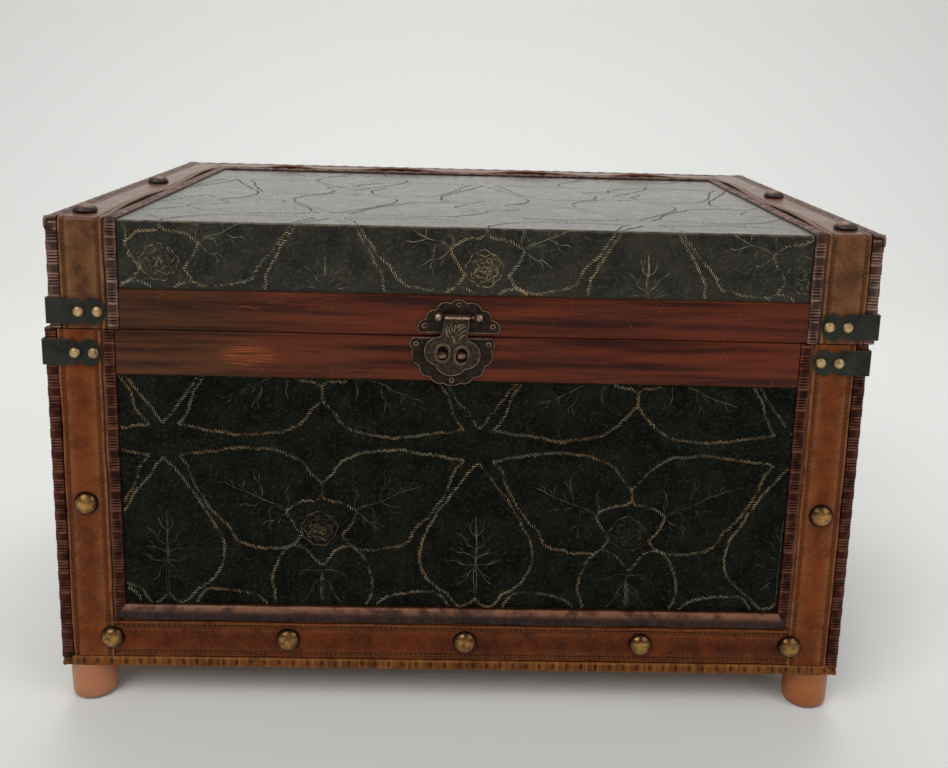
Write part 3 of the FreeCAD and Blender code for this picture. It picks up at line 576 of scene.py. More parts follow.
def lay_folded_welt(pile, track, leg, shift):
    """A ribbed strip folded round an edge. It stands a strap's thickness off both faces."""
    dense = track.dense(0.4)
    level = ribs(dense.along, shift)
    tall = STRAP_THICK * (1 - 0.17 * (1 - level))
    legs = [(leg, 0.04), (leg, 0.55), (leg - 0.4, 0.88), (leg - 1.1, 1.0), (leg * 0.45, 1.0)]
    bend = [(-math.sin(turn), math.cos(turn)) for turn in np.linspace(0, QUARTER, 6)]
    back = legs[::-1]
    fixed = [(a, 0) for a, _ in legs] + [(0, 0)] * len(bend) + [(0, -a) for a, _ in back] + [(-0.04, 0.04)]
    grown = [(0, o) for _, o in legs] + bend + [(-o, 0) for _, o in back] + [(0, 0)]
    lifts = np.array([o for _, o in legs] + [1.0] * len(bend) + [o for _, o in back] + [0.0])
    fold = np.zeros(len(lifts))
    fold[len(legs):len(legs) + len(bend)] = 0.25
    # The ribs, rims and bend are lightened for wear and a painted highlight; the hollows are darkened for
    # grime and painted shade, and the foot against the boards is painted shade.
    rub = np.clip((lifts > 0.8) * (fold * level[:, None] + crest(level)[:, None]), 0, 1)
    grime_and_shade = np.clip((0.6 - level)[:, None] * 2.0 * (lifts > 0.8) + (lifts < 0.1) * 0.8, 0, 1)
    profile = np.array(fixed) + tall[:, None, None] * np.array(grown)
    pile.loft(dense.rings(profile), rub, grime_and_shade)


# Leather panels and the sheet over the lid

PANEL_THICK = 0.98
FOLD_LENGTH = 1.2       # of the sheet over the lid, round the front edge


def ripple(u, t, seed):
    """The small unevenness of the leather on its board."""
    u, t = np.broadcast_arrays(u, t)
    points = np.stack([u.ravel(), t.ravel()], axis=1)
    height = smooth_noise(points, 31, seed) * 0.16 + smooth_noise(points, 9, seed + 4) * 0.06
    return height.reshape(u.shape)


class Field:
    """A panel's own flat sheet: u across, t up, and how they lie on the chest."""

    def __init__(self, side, low, high, seed, wraps=False):
        self.side, self.low, self.high, self.seed, self.wraps = side, low, high, seed, wraps
        self.half = side.half - FIELD_INSET

    def at(self, u, t, out):
        """Points for arrays u, t and height over the boards."""
        if not self.wraps:
            return self.side.at(u, t, out)
        u, t, out = np.broadcast_arrays(u, t, out)
        turn = np.clip((t - top_z) / FOLD_LENGTH, 0, 1) * QUARTER
        back = np.clip(t - top_z - FOLD_LENGTH, 0, None)
        front = self.side.at(u, np.minimum(t, top_z), 0.0)
        forward = (out * np.cos(turn))[..., None] * self.side.out
        return front - back[..., None] * self.side.out + forward + (out * np.sin(turn))[..., None] * UP

    def skin(self):
        pile = Pile()
        columns = np.linspace(-self.half, self.half, max(8, int(2 * self.half / 5)))
        rows = np.linspace(self.low, self.high, max(8, int((self.high - self.low) / 5)))
        rows = np.concatenate([rows, (self.low + 0.5, self.high - 0.5)])
        if self.wraps:
            rows = np.concatenate([rows, top_z + FOLD_LENGTH * np.linspace(-0.4, 1.4, 11)])
        rows = np.unique(rows)
        edge = np.concatenate([[rows[0]], rows, [rows[-1]]])
        height = PANEL_THICK + ripple(columns[:, None], edge[None, :], self.seed)
        height[:, (0, -1)] = 0.05
        height[:, (1, -2)] -= 0.35
        rings = self.at(columns[:, None], edge, height)
        if self.wraps:
            inner = self.at(columns[:, None], edge[::-1], np.full(height.shape, 0.05))[:, 1:-1]
            rings = np.concatenate([rings, inner], axis=1)
        rub = np.zeros(rings.shape[:2])
        rub[:, (1, len(edge) - 2)] = 0.6
        # A light line along the fold over the lid's front edge: a painted highlight.
        if self.wraps:
            rub[:, :len(edge)] += 0.4 * (np.abs(edge - top_z - 0.6) < 0.7)
        pile.loft(rings, rub)
        return pile


# The embossed leaf pattern, in millimetres about a medallion; the second place of a point
# grows towards the mirror line. Each leaf is one half, drawn again on the other side.

SIDE_LEAF = [
    [(0, 26.5), (4.5, 31), (11, 38.5), (20, 43.5), (38, 46), (56, 44), (75.5, 41)],
    [(75.5, 41), (70, 33.5), (66.5, 23), (58, 9.5), (50, 1), (45.5, -7), (35, -10.5), (23, -11.5),
     (16, -9.5), (11, -3)],
    [(11, -3), (15.8, 3.4), (19, 10.5)],
    [(19, 10.5), (12, 15.5), (4.5, 16.5), (0.6, 18.6)],
]
OPEN_EDGE = [(75.5, 41), (70, 30), (65, 10), (59, -8), (53, -19), (44, -24), (31, -26), (20, -25),
             (14, -16), (11, -3)]
OPEN_LEAF = [SIDE_LEAF[0], OPEN_EDGE, SIDE_LEAF[2], SIDE_LEAF[3]]
STEM = [(0, 18.2), (0.3, 22), (0, 26.5)]
SIDE_VEINS = [
    [(19.2, 10.5), (24.5, 14.2), (31.4, 16.6), (41, 21.4), (53.4, 26.3)],
    [(18.7, 11), (17.6, 16), (18.8, 21), (17.4, 26)],
    [(31.9, 17), (31.5, 22), (33.6, 27), (33, 32.5)],
    [(40.6, 21), (42, 24), (41.4, 28)],
    [(31.5, 16), (37.5, 13.5), (41, 14), (45, 12)],
    [(19, 10), (25.3, 5), (28, 5.2), (33.5, 1.8)],
    [(33.4, 26), (36, 28.5), (36.2, 31)],
    [(18.6, 20.5), (21.4, 23)],
    [(26, 5.2), (28.6, 2.2), (29, -0.4)],
    [(46.5, 23.6), (48, 27), (50.6, 28.4)],
    [(24.6, 13.8), (27.6, 11.6), (28.4, 9)],
]
TALL_LEAF = [
    [(0, -21), (3.4, -17.5), (7, -12.2), (12, -9.8), (17, -9.4)],
    [(17, -9.4), (21, -13.5), (25, -21), (27, -30), (25.8, -39), (22, -50), (17, -61), (11, -74),
     (5, -88), (0, -101.6)],
]
WIDE_LEAF = [
    [(0, -23), (3.6, -19.5), (8, -18), (11.5, -20.5), (15, -25)],
    [(15, -25), (23, -30.5), (29, -39), (30.6, -47), (29, -57), (22.4, -70), (12, -86), (0, -101.6)],
]
TALL_VEINS = [
    [(0, -24), (0.4, -40), (0, -55), (0, -80)],
    [(0, -24), (6, -23.4), (11, -25), (13, -29)],
    [(0, -28), (5, -33), (7, -38), (12, -45)],
    [(0, -46), (4.4, -51), (5.4, -57), (9, -64)],
    [(0, -60), (3, -65), (4.4, -72)],
]
WIDE_VEINS = [
    [(0, -38), (0.4, -50), (-0.3, -60), (0, -71)],
    [(0, -42), (7, -42.5), (11, -45), (15, -45.4)],
    [(0, -42), (3.4, -38), (5.6, -33), (10, -30)],
    [(0, -51), (4.6, -54), (6, -57.6), (11, -61)],
    [(0, -59), (3, -62), (4.4, -68)],
    [(0, -46), (5, -49), (11.6, -50)],
]
LEAVES = {"A": SIDE_LEAF + TALL_LEAF, "B": OPEN_LEAF + WIDE_LEAF}
LONG_VEINS = {"A": TALL_VEINS, "B": WIDE_VEINS}
TWIG_BENDS = [(0, 0), (0.45, 0.34), (0.98, 0.56)]   # forward and aside, as shares of a twig's length
ROPE_STEP, VEIN_STEP, LONG_VEIN_STEP = 0.52, 1.1, 1.3   # between the places of a line
PITCH_ACROSS = 166.5
NEAR_ROW, FAR_ROW = 50.2, 111.0     # from the mirror line to the rows of medallions
PANEL_NEAR_ROW = 49.5
REPEAT_REACH = 85.0                 # from a medallion's middle to its pattern's end

# Which pile each kind of line goes to, and how it is raised
LINES = {
    "rope": ("leaf_outlines", {"radius": 0.29, "base_out": -0.06, "twist": 3.1, "taper": False}),
    "vein": ("leaf_veins", {"radius": 0.22}),
    "twig": ("leaf_veins", {"radius": 0.17, "base_out": -0.03}),
    "ring": ("flower_curls", {"radius": 0.32, "sides": 5, "taper": False}),
    "curl": ("flower_curls", {"radius": 0.26, "base_out": -0.04, "taper": False}),
}
LID_VEIN_RADIUS = 0.28


def medallion_lines():
    """A wavy ring and the squiggle inside it."""
    turns = np.linspace(0, 2 * math.pi, 90)
    radius = 9.4 + 0.35 * np.sin(turns * 9) + 0.4 * np.sin(turns * 4 + 1)
    ring = np.stack([radius * np.cos(turns) - 1.4, radius * np.sin(turns) + 0.4], axis=1)
    turns = np.linspace(0, 2 * math.pi * 5.3, 520)
    radius = 0.8 + 7.2 * turns / turns[-1]
    for size, pace in ((0.7, 8.73), (0.5, 3.37), (0.4, 1.61)):
        radius = radius + size * np.sin(turns * pace)
    curl = np.stack([radius * np.cos(turns) - 1.4, radius * np.sin(turns) * 0.95 + 0.4], axis=1)
    return ring, curl


def twigs(vein, apart, reach):
    """Short branches along a vein, to its left and right in turn."""
    line = flowing(vein, 0.5)
    along = lengths_along(line)
    made = []
    for turn, spot in enumerate(np.arange(apart * 0.8, along[-1] - 1.5, apart)):
        here = min(int(np.searchsorted(along, spot)), len(line) - 2)
        ahead = (line[here + 1] - line[here]) / np.linalg.norm(line[here + 1] - line[here])
        aside = np.array((-ahead[1], ahead[0])) * (1 if turn % 2 else -1)
        length = reach * (0.75 + 0.25 * math.sin(spot * 2.3 + vein[0][0]))
        bends = [line[here] + (ahead * forward + aside * over) * length for forward, over in TWIG_BENDS]
        made.append(flowing(bends, VEIN_STEP))
    return made


def veins_with_twigs(veins, step, apart, reach):
    """Veins as lines, each with its twigs."""
    lines = []
    for vein in veins:
        lines.append((flowing(vein, step), "vein"))
        lines.extend((twig, "twig") for twig in twigs(vein, apart, reach))
    return lines


def pattern_lines(kind):
    """Lines about one medallion: (points, what), where what is one of LINES."""
    half = [(flowing(outline, ROPE_STEP), "rope") for outline in LEAVES[kind]]
    half += veins_with_twigs(SIDE_VEINS, step=VEIN_STEP, apart=4.4, reach=5.8)
    half.append((flowing(SIDE_VEINS[0][:2], VEIN_STEP) + (-0.4, 0.9), "vein"))
    half.append((flowing(TALL_VEINS[0][:2], VEIN_STEP) + (0.5, 0.0), "vein"))
    half += veins_with_twigs(LONG_VEINS[kind], step=LONG_VEIN_STEP, apart=7.5, reach=5.0)
    lines = [(line * (mirror, 1), what) for mirror in (-1, 1) for line, what in half]
    ring, curl = medallion_lines()
    lines += [(flowing(STEM, ROPE_STEP), "rope"), (ring, "ring"), (curl, "curl")]
    return [(line * (1, 1 if kind == "A" else -1), what) for line, what in lines]


def kept_runs(line, field, margin=0.6):
    """The stretches of a line that lie on the panel."""
    u, t = line.T
    inside = (np.abs(u) < field.half - margin) & (t > field.low + margin) & (t < field.high - margin)
    runs = np.split(line, np.flatnonzero(np.diff(inside)) + 1)
    return [run for run in runs[0 if inside[0] else 1::2] if len(run) > 4]


def emboss(pile, field, line, radius, base_out=0.0, sides=4, twist=None, taper=True):
    """A raised line on a panel, in the panel's own u, t and height; twist makes it two strands."""
    normal = to_left(np.gradient(line, axis=0))
    along = lengths_along(line)
    low = ripple(line[:, 0], line[:, 1], field.seed) + PANEL_THICK + base_out
    grain = smooth_noise(line, 1.6, 5.1 + field.seed)
    patch = smooth_noise(line, 23, 3.7 + field.seed)
    angles = circle(sides, 0.4)
    thin = np.clip(0.35 + np.minimum(along, along[-1] - along) / 5, 0, 1) if taper else np.ones(len(line))
    flat = 0.35 * (line[:, 1] > top_z) if field.wraps else np.zeros(len(line))
    for phase in (0.0,) if twist is None else (0.0, math.pi):
        centre, lift, swell, over = line, low, 1.0, 0.25
        if twist is not None:
            turn = (along / twist + grain * 0.25) * 2 * math.pi + phase
            centre = line + normal * (0.7 * np.cos(turn) + 0.6 * grain)[:, None]
            lift = low + 0.22 * np.sin(turn)
            swell = 0.85 + 0.4 * np.sin(turn)
            # Each strand is lightened where it rises: a painted highlight that shows the twist.
            over = 1.05 * np.sin(turn)
        r = (radius * thin * (1 - flat) * swell)[:, None]
        u, t = (centre[:, None, i] + normal[:, None, i] * r * np.cos(angles) for i in (0, 1))
        out = (lift - 0.3 * flat)[:, None] + r * np.sin(angles) * (1 - flat)[:, None]
        worn_and_highlight = np.clip(0.28 + patch * 0.9 + grain * 1.2 + over, 0.0, 1)[:, None]
        pile.loft(field.at(u, t, out), worn_and_highlight * np.clip(0.6 + 0.5 * np.sin(angles), 0.3, 1))


def emboss_field(piles, field, rows, shift=0.0):
    """The leaf pattern over one panel. rows are (t, kind, towards, shift across)."""
    for t, kind, towards, across in rows:
        count = int(field.half / PITCH_ACROSS) + 2
        for index in range(-count, count + 1):
            at_u = across + shift + index * PITCH_ACROSS
            if abs(at_u) > field.half + REPEAT_REACH:
                continue
            for line, what in pattern_lines(kind):
                laid = line * (1, towards) + (at_u, t)
                wobble = np.stack([smooth_noise(laid, 8, 1.1), smooth_noise(laid, 8, 8.2)], axis=1)
                laid = laid + wobble * (0.4 if what in ("ring", "curl") else 1.0)
                title, look = LINES[what]
                if what == "vein" and field.wraps:
                    look = {"radius": LID_VEIN_RADIUS}
                for run in kept_runs(laid, field):
                    emboss(piles[title], field, run, **look)


def pattern_piles():
    return {"leaf_outlines": Pile(), "leaf_veins": Pile(), "flower_curls": Pile()}


def rows_about(mirror, shift_a, shift_b, near=NEAR_ROW):
    """Medallion rows either side of a mirror line: (t, kind, direction to the mirror, shift)."""
    rows = []
    for way in (-1, 1):
        rows.append((mirror + way * near, "A", -way, shift_a))
        rows.append((mirror + way * FAR_ROW, "B", -way, shift_b))
    return rows


# Turned pieces and nails


def turned(pile, centre, out, profile, sides=20, rub=None, grime_and_shade=None, dents=0.0):
    """A shape turned about the out direction: profile is (radius, height) from foot to tip."""
    out = np.asarray(out, float)
    across = np.cross(out, UP if abs(out[2]) < 0.5 else np.array((1.0, 0, 0)))
    across /= np.linalg.norm(across)
    other = np.cross(out, across)
    angles = circle(sides)
    rings = []
    for i, (radius, height) in enumerate(profile):
        wave = 1.0
        if dents:
            spots_on = [(math.cos(a) * 2 + centre[0], math.sin(a) * 2 + centre[1]) for a in angles]
            wave = 1 + dents * smooth_noise(spots_on, 1, i * 0.8)
        reach = np.broadcast_to(radius * wave, sides)
        ring = centre + (reach * np.cos(angles))[:, None] * across + (reach * np.sin(angles))[:, None] * other
        rings.append(ring + height * out)
    marks = [0.0 if rows is None else np.repeat(rows, sides) for rows in (rub, grime_and_shade)]
    pile.loft(np.array(rings), *marks)


def dome_profile(radius, height, dimple):
    """A hammered nail head, from the leather to its tip."""
    rows = [(radius * 0.9, 0.0), (radius, 0.12 * height), (radius * 0.985, 0.24 * height)]
    for share in (0.9, 0.78, 0.62, 0.44, 0.26, 0.1):
        rows.append((radius * share, height * math.sqrt(max(0.0, 1 - share * share)) ** 0.9))
    if dimple:
        rows[-2] = (radius * 0.28, rows[-3][1] * 0.985)
        rows[-1] = (radius * 0.14, rows[-3][1] * 0.84)
    return rows


def nail_heads(node, body):
    """Tip, direction and radius of each nail of a node."""
    box_low, box_high = BOARDS[body]
    heads = []
    middle, half = (box_low + box_high) / 2, (box_high - box_low) / 2
    for low, high in islands(node):
        size = high - low
        centre = (low + high) / 2
        axis = int(np.argmax(np.abs(centre - middle) - half))
        out = np.zeros(3)
        out[axis] = 1.0 if centre[axis] > middle[axis] else -1.0
        radius = max(size[i] for i in range(3) if i != axis) / 2
        heads.append((centre + out * size[axis] / 2, out, radius))
    return heads


# Pieces that keep the model's own shape, with their edges eased


def dressed(node, name, material, body, width, edge=None):
    """A copy of a node with small rounded edges, which can have a finish of their own."""
    mesh = frame["nodes"][node].data.copy()
    mesh.name = name
    work = bmesh.new()
    work.from_mesh(mesh)
    bmesh.ops.remove_doubles(work, verts=work.verts, dist=2 * TINY)
    bmesh.ops.dissolve_limit(work, angle_limit=math.radians(1), verts=work.verts, edges=work.edges)
    bmesh.ops.recalc_face_normals(work, faces=work.faces)
    work.to_mesh(mesh)
    work.free()
    mesh.materials.clear()
    mesh.materials.append(material)
    mesh.materials.append(edge or material)
    for face in mesh.polygons:
        face.material_index = 0
    piece = show(name, mesh)
    bevel = piece.modifiers.new("eased", "BEVEL")
    bevel.width = width * MM
    bevel.segments = 2
    bevel.limit_method = "ANGLE"
    bevel.angle_limit = math.radians(30)
    bevel.material = 1
    bevel.use_clamp_overlap = True
    bevel.harden_normals = False
    bpy.context.view_layer.update()
    graph = bpy.context.evaluated_depsgraph_get()
    final = bpy.data.meshes.new_from_object(piece.evaluated_get(graph))
    piece.modifiers.clear()
    piece.data = final
    final.shade_smooth()
    final.set_sharp_from_angle(angle=math.radians(38))
    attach(piece, body)
    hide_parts(node)


def face_loops(node, level, reach=0.05):
    """Outlines of the flat faces of a node at one distance in front, as (x, z) loops."""
    mesh = frame["nodes"][node].data
    numbers, unique, names = {}, [], []
    for vert in mesh.vertices:
        point = np.array(vert.co) / MM
        key = tuple(np.round(point, 3))
        if key not in numbers:
            numbers[key] = len(unique)
            unique.append(point)
        names.append(numbers[key])
    unique = np.array(unique)
    uses = {}
    for face in mesh.polygons:
        ids = [names[i] for i in face.vertices]
        if all(abs(unique[i][1] - level) < reach for i in ids):
            for a, b in zip(ids, ids[1:] + ids[:1]):
                edge = (min(a, b), max(a, b))
                uses[edge] = uses.get(edge, 0) + 1
    links = {}
    for a, b in (edge for edge, count in uses.items() if count == 1):
        links.setdefault(a, []).append(b)
        links.setdefault(b, []).append(a)
    loops, used = [], set()
    for start in links:
        loop, ahead = [], [start]
        while ahead and ahead[0] not in used:
            loop.append(ahead[0])
            used.add(ahead[0])
            ahead = [n for n in links[loop[-1]] if n not in used]
        if len(loop) > 3:
            loops.append(unique[loop][:, (0, 2)])
    return loops


def loop_area(loop):
    x, z = loop.T
    return 0.5 * np.sum(x * np.roll(z, -1) - np.roll(x, -1) * z)


def raised(pile, line, normal, y, radius, rub, ring_closed=False):
    """A rounded line of (x, z) points that stands up from the front of the metal."""
    angles = circle(6)
    radius = np.broadcast_to(radius, len(line))[:, None]
    rings = np.zeros((len(line), len(angles), 3))
    rings[:, :, (0, 2)] = line[:, None] + normal[:, None] * (radius * np.cos(angles))[..., None]
    rings[:, :, 1] = y - radius * 0.7 * np.sin(angles)
    pile.loft(rings, rub, ring_closed=ring_closed)


def border(pile, loop, inset, y, rub=1.0):
    """A raised line just inside an outline."""
    if loop_area(loop) < 0:
        loop = loop[::-1]
    closed = np.concatenate([loop, loop[:1]])
    along = lengths_along(closed)
    places = np.linspace(0, along[-1], max(12, int(along[-1] / 0.7)), endpoint=False)
    line = read_line(closed, along, places)
    inward = to_left(np.roll(line, -1, 0) - np.roll(line, 1, 0))
    raised(pile, line + inward * inset, inward, y, 0.16, rub, ring_closed=True)


def stroke(pile, points, y, radius):
    """A short raised stroke on the front of the metal, thin at its ends."""
    line = flowing(points, 0.5)
    shares = np.linspace(0, 1, len(line))
    thin = np.clip(np.minimum(shares, 1 - shares) * 5 + 0.25, 0, 1) * radius
    raised(pile, line, to_left(np.gradient(line, axis=0)), y, thin, 0.8)


# Nodes of materials


def paint(red, green, blue):
    """A colour as it is seen on a screen, 0 to 255, as the renderer takes it."""
    parts = [c / 255 for c in (red, green, blue)]
    return tuple(c / 12.92 if c <= 0.0404 else ((c + 0.055) / 1.055) ** 2.4 for c in parts) + (1.0,)


def knot(tree, kind, values=None, **settings):
    """A node with its settings, and its inputs linked or set by name or number."""
    made = tree.nodes.new(kind)
    for name, value in settings.items():
        setattr(made, name, value)
    for name, value in (values or {}).items():
        if isinstance(value, bpy.types.NodeSocket):
            tree.links.new(value, made.inputs[name])
        else:
            made.inputs[name].default_value = value
    return made


def sums(tree, operation, *parts, clamp=False):
    made = knot(tree, "ShaderNodeMath", dict(enumerate(parts)), operation=operation, use_clamp=clamp)
    return made.outputs[0]


def times(tree, first, second):
    return sums(tree, "MULTIPLY", first, second)


def blend_colours(tree, share, first, second):
    settings = {"data_type": "RGBA", "blend_type": "MIX", "clamp_factor": True}
    return knot(tree, "ShaderNodeMix", {0: share, 6: first, 7: second}, **settings).outputs[2]


def between(tree, value, low, high, to_low=0.0, to_high=1.0):
    values = {0: value, 1: low, 2: high, 3: to_low, 4: to_high}
    made = knot(tree, "ShaderNodeMapRange", values, clamp=True, interpolation_type="SMOOTHSTEP")
    return made.outputs[0]


def position(tree):
    return knot(tree, "ShaderNodeTexCoord").outputs["Object"]


def split_of(tree, vector):
    return knot(tree, "ShaderNodeSeparateXYZ", {0: vector}).outputs


def clouds(tree, where, scale, detail, rough=0.5, give="Fac"):
    values = {"Vector": where, "Scale": scale, "Detail": detail, "Roughness": rough}
    return knot(tree, "ShaderNodeTexNoise", values).outputs[give]


def cells(tree, where, scale, feature):
    made = knot(tree, "ShaderNodeTexVoronoi", {"Vector": where, "Scale": scale}, feature=feature)
    return made.outputs["Distance"]


def bent(tree, where, share, scale, detail):
    """Places pushed about by noise, so that straight lines bend."""
    push = clouds(tree, where, scale, detail, give="Color")
    return knot(tree, "ShaderNodeMix", {0: share, 4: where, 5: push}, data_type="VECTOR").outputs[1]


def effect(name, takes, build):
    """A node group. takes are its inputs; build makes its outputs, by name, from the inputs."""
    tree = bpy.data.node_groups.new(name, "ShaderNodeTree")
    for title, value in takes.items():
        made = tree.interface.new_socket(name=title, in_out="INPUT", socket_type="NodeSocketFloat")
        made.default_value = value
    gives = build(tree, tree.nodes.new("NodeGroupInput").outputs)
    for title in gives:
        tree.interface.new_socket(name=title, in_out="OUTPUT", socket_type="NodeSocketFloat")
    knot(tree, "NodeGroupOutput", gives)
    return tree


def leather_grain(tree, takes):
    where = position(tree)
    pores = cells(tree, where, takes["Pore size"], "F1")
    folds = cells(tree, bent(tree, where, 0.05, 90.0, 3.0), 95.0, "DISTANCE_TO_EDGE")
    crease = between(tree, folds, 0.0, 0.05, 1.0, 0.0)
    crease = times(tree, crease, between(tree, clouds(tree, where, 22.0, 4.0), 0.42, 0.62))
    crease = times(tree, crease, takes["Creases"])
    height = sums(tree, "MULTIPLY_ADD", pores, -0.6, clouds(tree, where, 700.0, 5.0))
    return {
        "Height": sums(tree, "MULTIPLY_ADD", crease, -0.9, height),
        "Mottle": between(tree, clouds(tree, where, 75.0, 6.0, 0.65), 0.32, 0.68),
        "Crease": crease,
        "Specks": between(tree, clouds(tree, where, 640.0, 5.0, 0.75), 0.5, 0.7),
    }


def wear_and_light_marks(tree, takes):
    """Reads where a piece is rubbed and given a painted highlight, and where it is dirty and given painted
    shade, and breaks both up.
    """
    patch = clouds(tree, position(tree), takes["Patch size"], 4.0)
    rub, grime_and_shade = (
        knot(tree, "ShaderNodeAttribute", attribute_name=title, attribute_type="GEOMETRY").outputs["Fac"]
        for title in ("rub", "grime_and_shade")
    )
    worn_and_highlight = times(tree, rub, between(tree, patch, 0.3, 0.62, 0.15, 1.25))
    return {
        "Worn_and_highlight": sums(tree, "MULTIPLY", worn_and_highlight, takes["Rub"], clamp=True),
        "Grimy_and_shaded": sums(tree, "MULTIPLY", grime_and_shade, takes["Dirt"], clamp=True),
    }


def wood_grain(tree, takes):
    """Grain that runs level on upright boards and from side to side on boards that lie flat."""
    coordinates = knot(tree, "ShaderNodeTexCoord").outputs
    where = coordinates["Object"]
    x, y, z = (split_of(tree, where)[axis] for axis in "XYZ")
    flat = sums(tree, "GREATER_THAN", sums(tree, "ABSOLUTE", split_of(tree, coordinates["Normal"])["Z"]), 0.6)
    over = knot(tree, "ShaderNodeMix", {0: flat, 2: z, 3: y}, data_type="FLOAT").outputs[0]
    lifted = sums(tree, "MULTIPLY_ADD", clouds(tree, where, 9.0, 2.0), 0.006, over)
    fine = times(tree, lifted, takes["Fineness"])
    sideways = times(tree, y, sums(tree, "SUBTRACT", 1.0, flat))

    def streaks(stretch, pitch, detail, rough):
        parts = {0: times(tree, x, stretch), 1: times(tree, sideways, stretch), 2: times(tree, fine, pitch)}
        return clouds(tree, knot(tree, "ShaderNodeCombineXYZ", parts).outputs[0], 1.0, detail, rough)
    return {"Figure": streaks(9.0, 190.0, 5.0, 0.6), "Fibre": streaks(45.0, 1500.0, 4.0, 0.7)}


def fine_scratches(tree, takes):
    """Fine bent scratches, in patches."""
    where = position(tree)
    edges = cells(tree, bent(tree, where, 0.035, 35.0, 2.0), takes["Spread"], "DISTANCE_TO_EDGE")
    line = sums(tree, "LESS_THAN", edges, takes["Width"])
    return {"Scratch": times(tree, line, between(tree, clouds(tree, where, 55.0, 3.0), 0.5, 0.62))}


def tarnish(tree, takes):
    where = position(tree)
    cloud = clouds(tree, where, takes["Size"], 5.0, 0.6)
    return {"Brown": between(tree, cloud, 0.38, 0.66), "Pits": clouds(tree, where, 2200.0, 3.0)}


LEATHER_GRAIN = effect("leather_grain", {"Pore size": 1100.0, "Creases": 1.0}, leather_grain)
# Reads the marks of wear and painted highlight, and of grime and painted shade.
WEAR_AND_LIGHT = effect("wear_and_light", {"Rub": 1.0, "Dirt": 1.0, "Patch size": 160.0}, wear_and_light_marks)
WOOD_GRAIN = effect("wood_grain", {"Fineness": 1.0}, wood_grain)
SCRATCHES = effect("scratches", {"Spread": 60.0, "Width": 0.012}, fine_scratches)
TARNISH = effect("tarnish", {"Size": 260.0}, tarnish)


def use(tree, group, **values):
    values = {name.replace("_", " "): value for name, value in values.items()}
    return knot(tree, "ShaderNodeGroup", values, node_tree=group).outputs


def finish_of(name, build, rough=None, metal=0.0, bump=0.2, **more):
    """A material. build makes its colour, height and, where rough isn't given, its roughness."""
    material = bpy.data.materials.new(name)
    material.use_nodes = True
    material.diffuse_color = (0.2, 0.12, 0.08, 1)
    tree = material.node_tree
    shader = tree.nodes["Principled BSDF"]
    colour, height, *roughness = build(tree)
    tree.links.new(colour, shader.inputs["Base Color"])
    lump = knot(tree, "ShaderNodeBump", {"Height": height, "Strength": bump, "Distance": 0.0006})
    tree.links.new(lump.outputs[0], shader.inputs["Normal"])
    if roughness:
        tree.links.new(roughness[0], shader.inputs["Roughness"])
    else:
        shader.inputs["Roughness"].default_value = rough
    shader.inputs["Metallic"].default_value = metal
    for title, value in more.items():
        shader.inputs[title.replace("_", " ")].default_value = value
    return material


# Leather

POLISH = {"Coat_IOR": 1.25, "Coat_Roughness": 0.25}
WARM_POLISH = dict(POLISH, Coat_Weight=0.5, Specular_Tint=(1.0, 0.9, 0.8, 1.0),
                   Coat_Tint=(1.0, 0.94, 0.88, 1.0))
CLEAR_POLISH = dict(Coat_Weight=0.8, Coat_IOR=1.25, Coat_Roughness=0.2, Specular_Tint=(1.0, 0.95, 0.87, 1.0),
                    Coat_Tint=(1.0, 0.97, 0.92, 1.0))


def leather(name, deep, light, worn_and_highlight, grime_and_shade_colour, rough, pore=1500, creases=0.8, grime_and_shade=1.0, bump=0.25, gloss=0.12,
            specks=0.15, crinkle=0.0, **more):
    """Mottled leather: deep and light are its own colours; the third shows where it is rubbed and where a
    highlight is painted; the fourth darkens its creases, its grime and its painted shade.
    """
    def build(tree):
        grain = use(tree, LEATHER_GRAIN, Pore_size=pore, Creases=creases)
        wear_and_light = use(tree, WEAR_AND_LIGHT, Rub=1.0, Dirt=grime_and_shade)
        colour = blend_colours(tree, grain["Mottle"], paint(*deep), paint(*light))
        colour = blend_colours(tree, times(tree, grain["Crease"], 0.55), colour, paint(*grime_and_shade_colour))
        colour = blend_colours(tree, times(tree, grain["Specks"], specks), colour, paint(*worn_and_highlight))
        # Lighter where worn and where a highlight is painted, darker where grimy and where shade is painted.
        colour = blend_colours(tree, wear_and_light["Worn_and_highlight"], colour, paint(*worn_and_highlight))
        colour = blend_colours(tree, wear_and_light["Grimy_and_shaded"], colour, paint(*grime_and_shade_colour))
        height = grain["Height"]
        if crinkle:
            values = {0: position(tree), 1: (45.0, 190.0, 190.0)}
            long = knot(tree, "ShaderNodeVectorMath", values, operation="MULTIPLY").outputs[0]
            folds = between(tree, clouds(tree, long, 1.0, 4.0, 0.6), 0.4, 0.56)
            height = sums(tree, "MULTIPLY_ADD", folds, crinkle, height)
        return colour, height, sums(tree, "MULTIPLY_ADD", grain["Mottle"], 0.14, rough - 0.07)
    return finish_of(name, build, bump=bump, Specular_IOR_Level=gloss, **more)


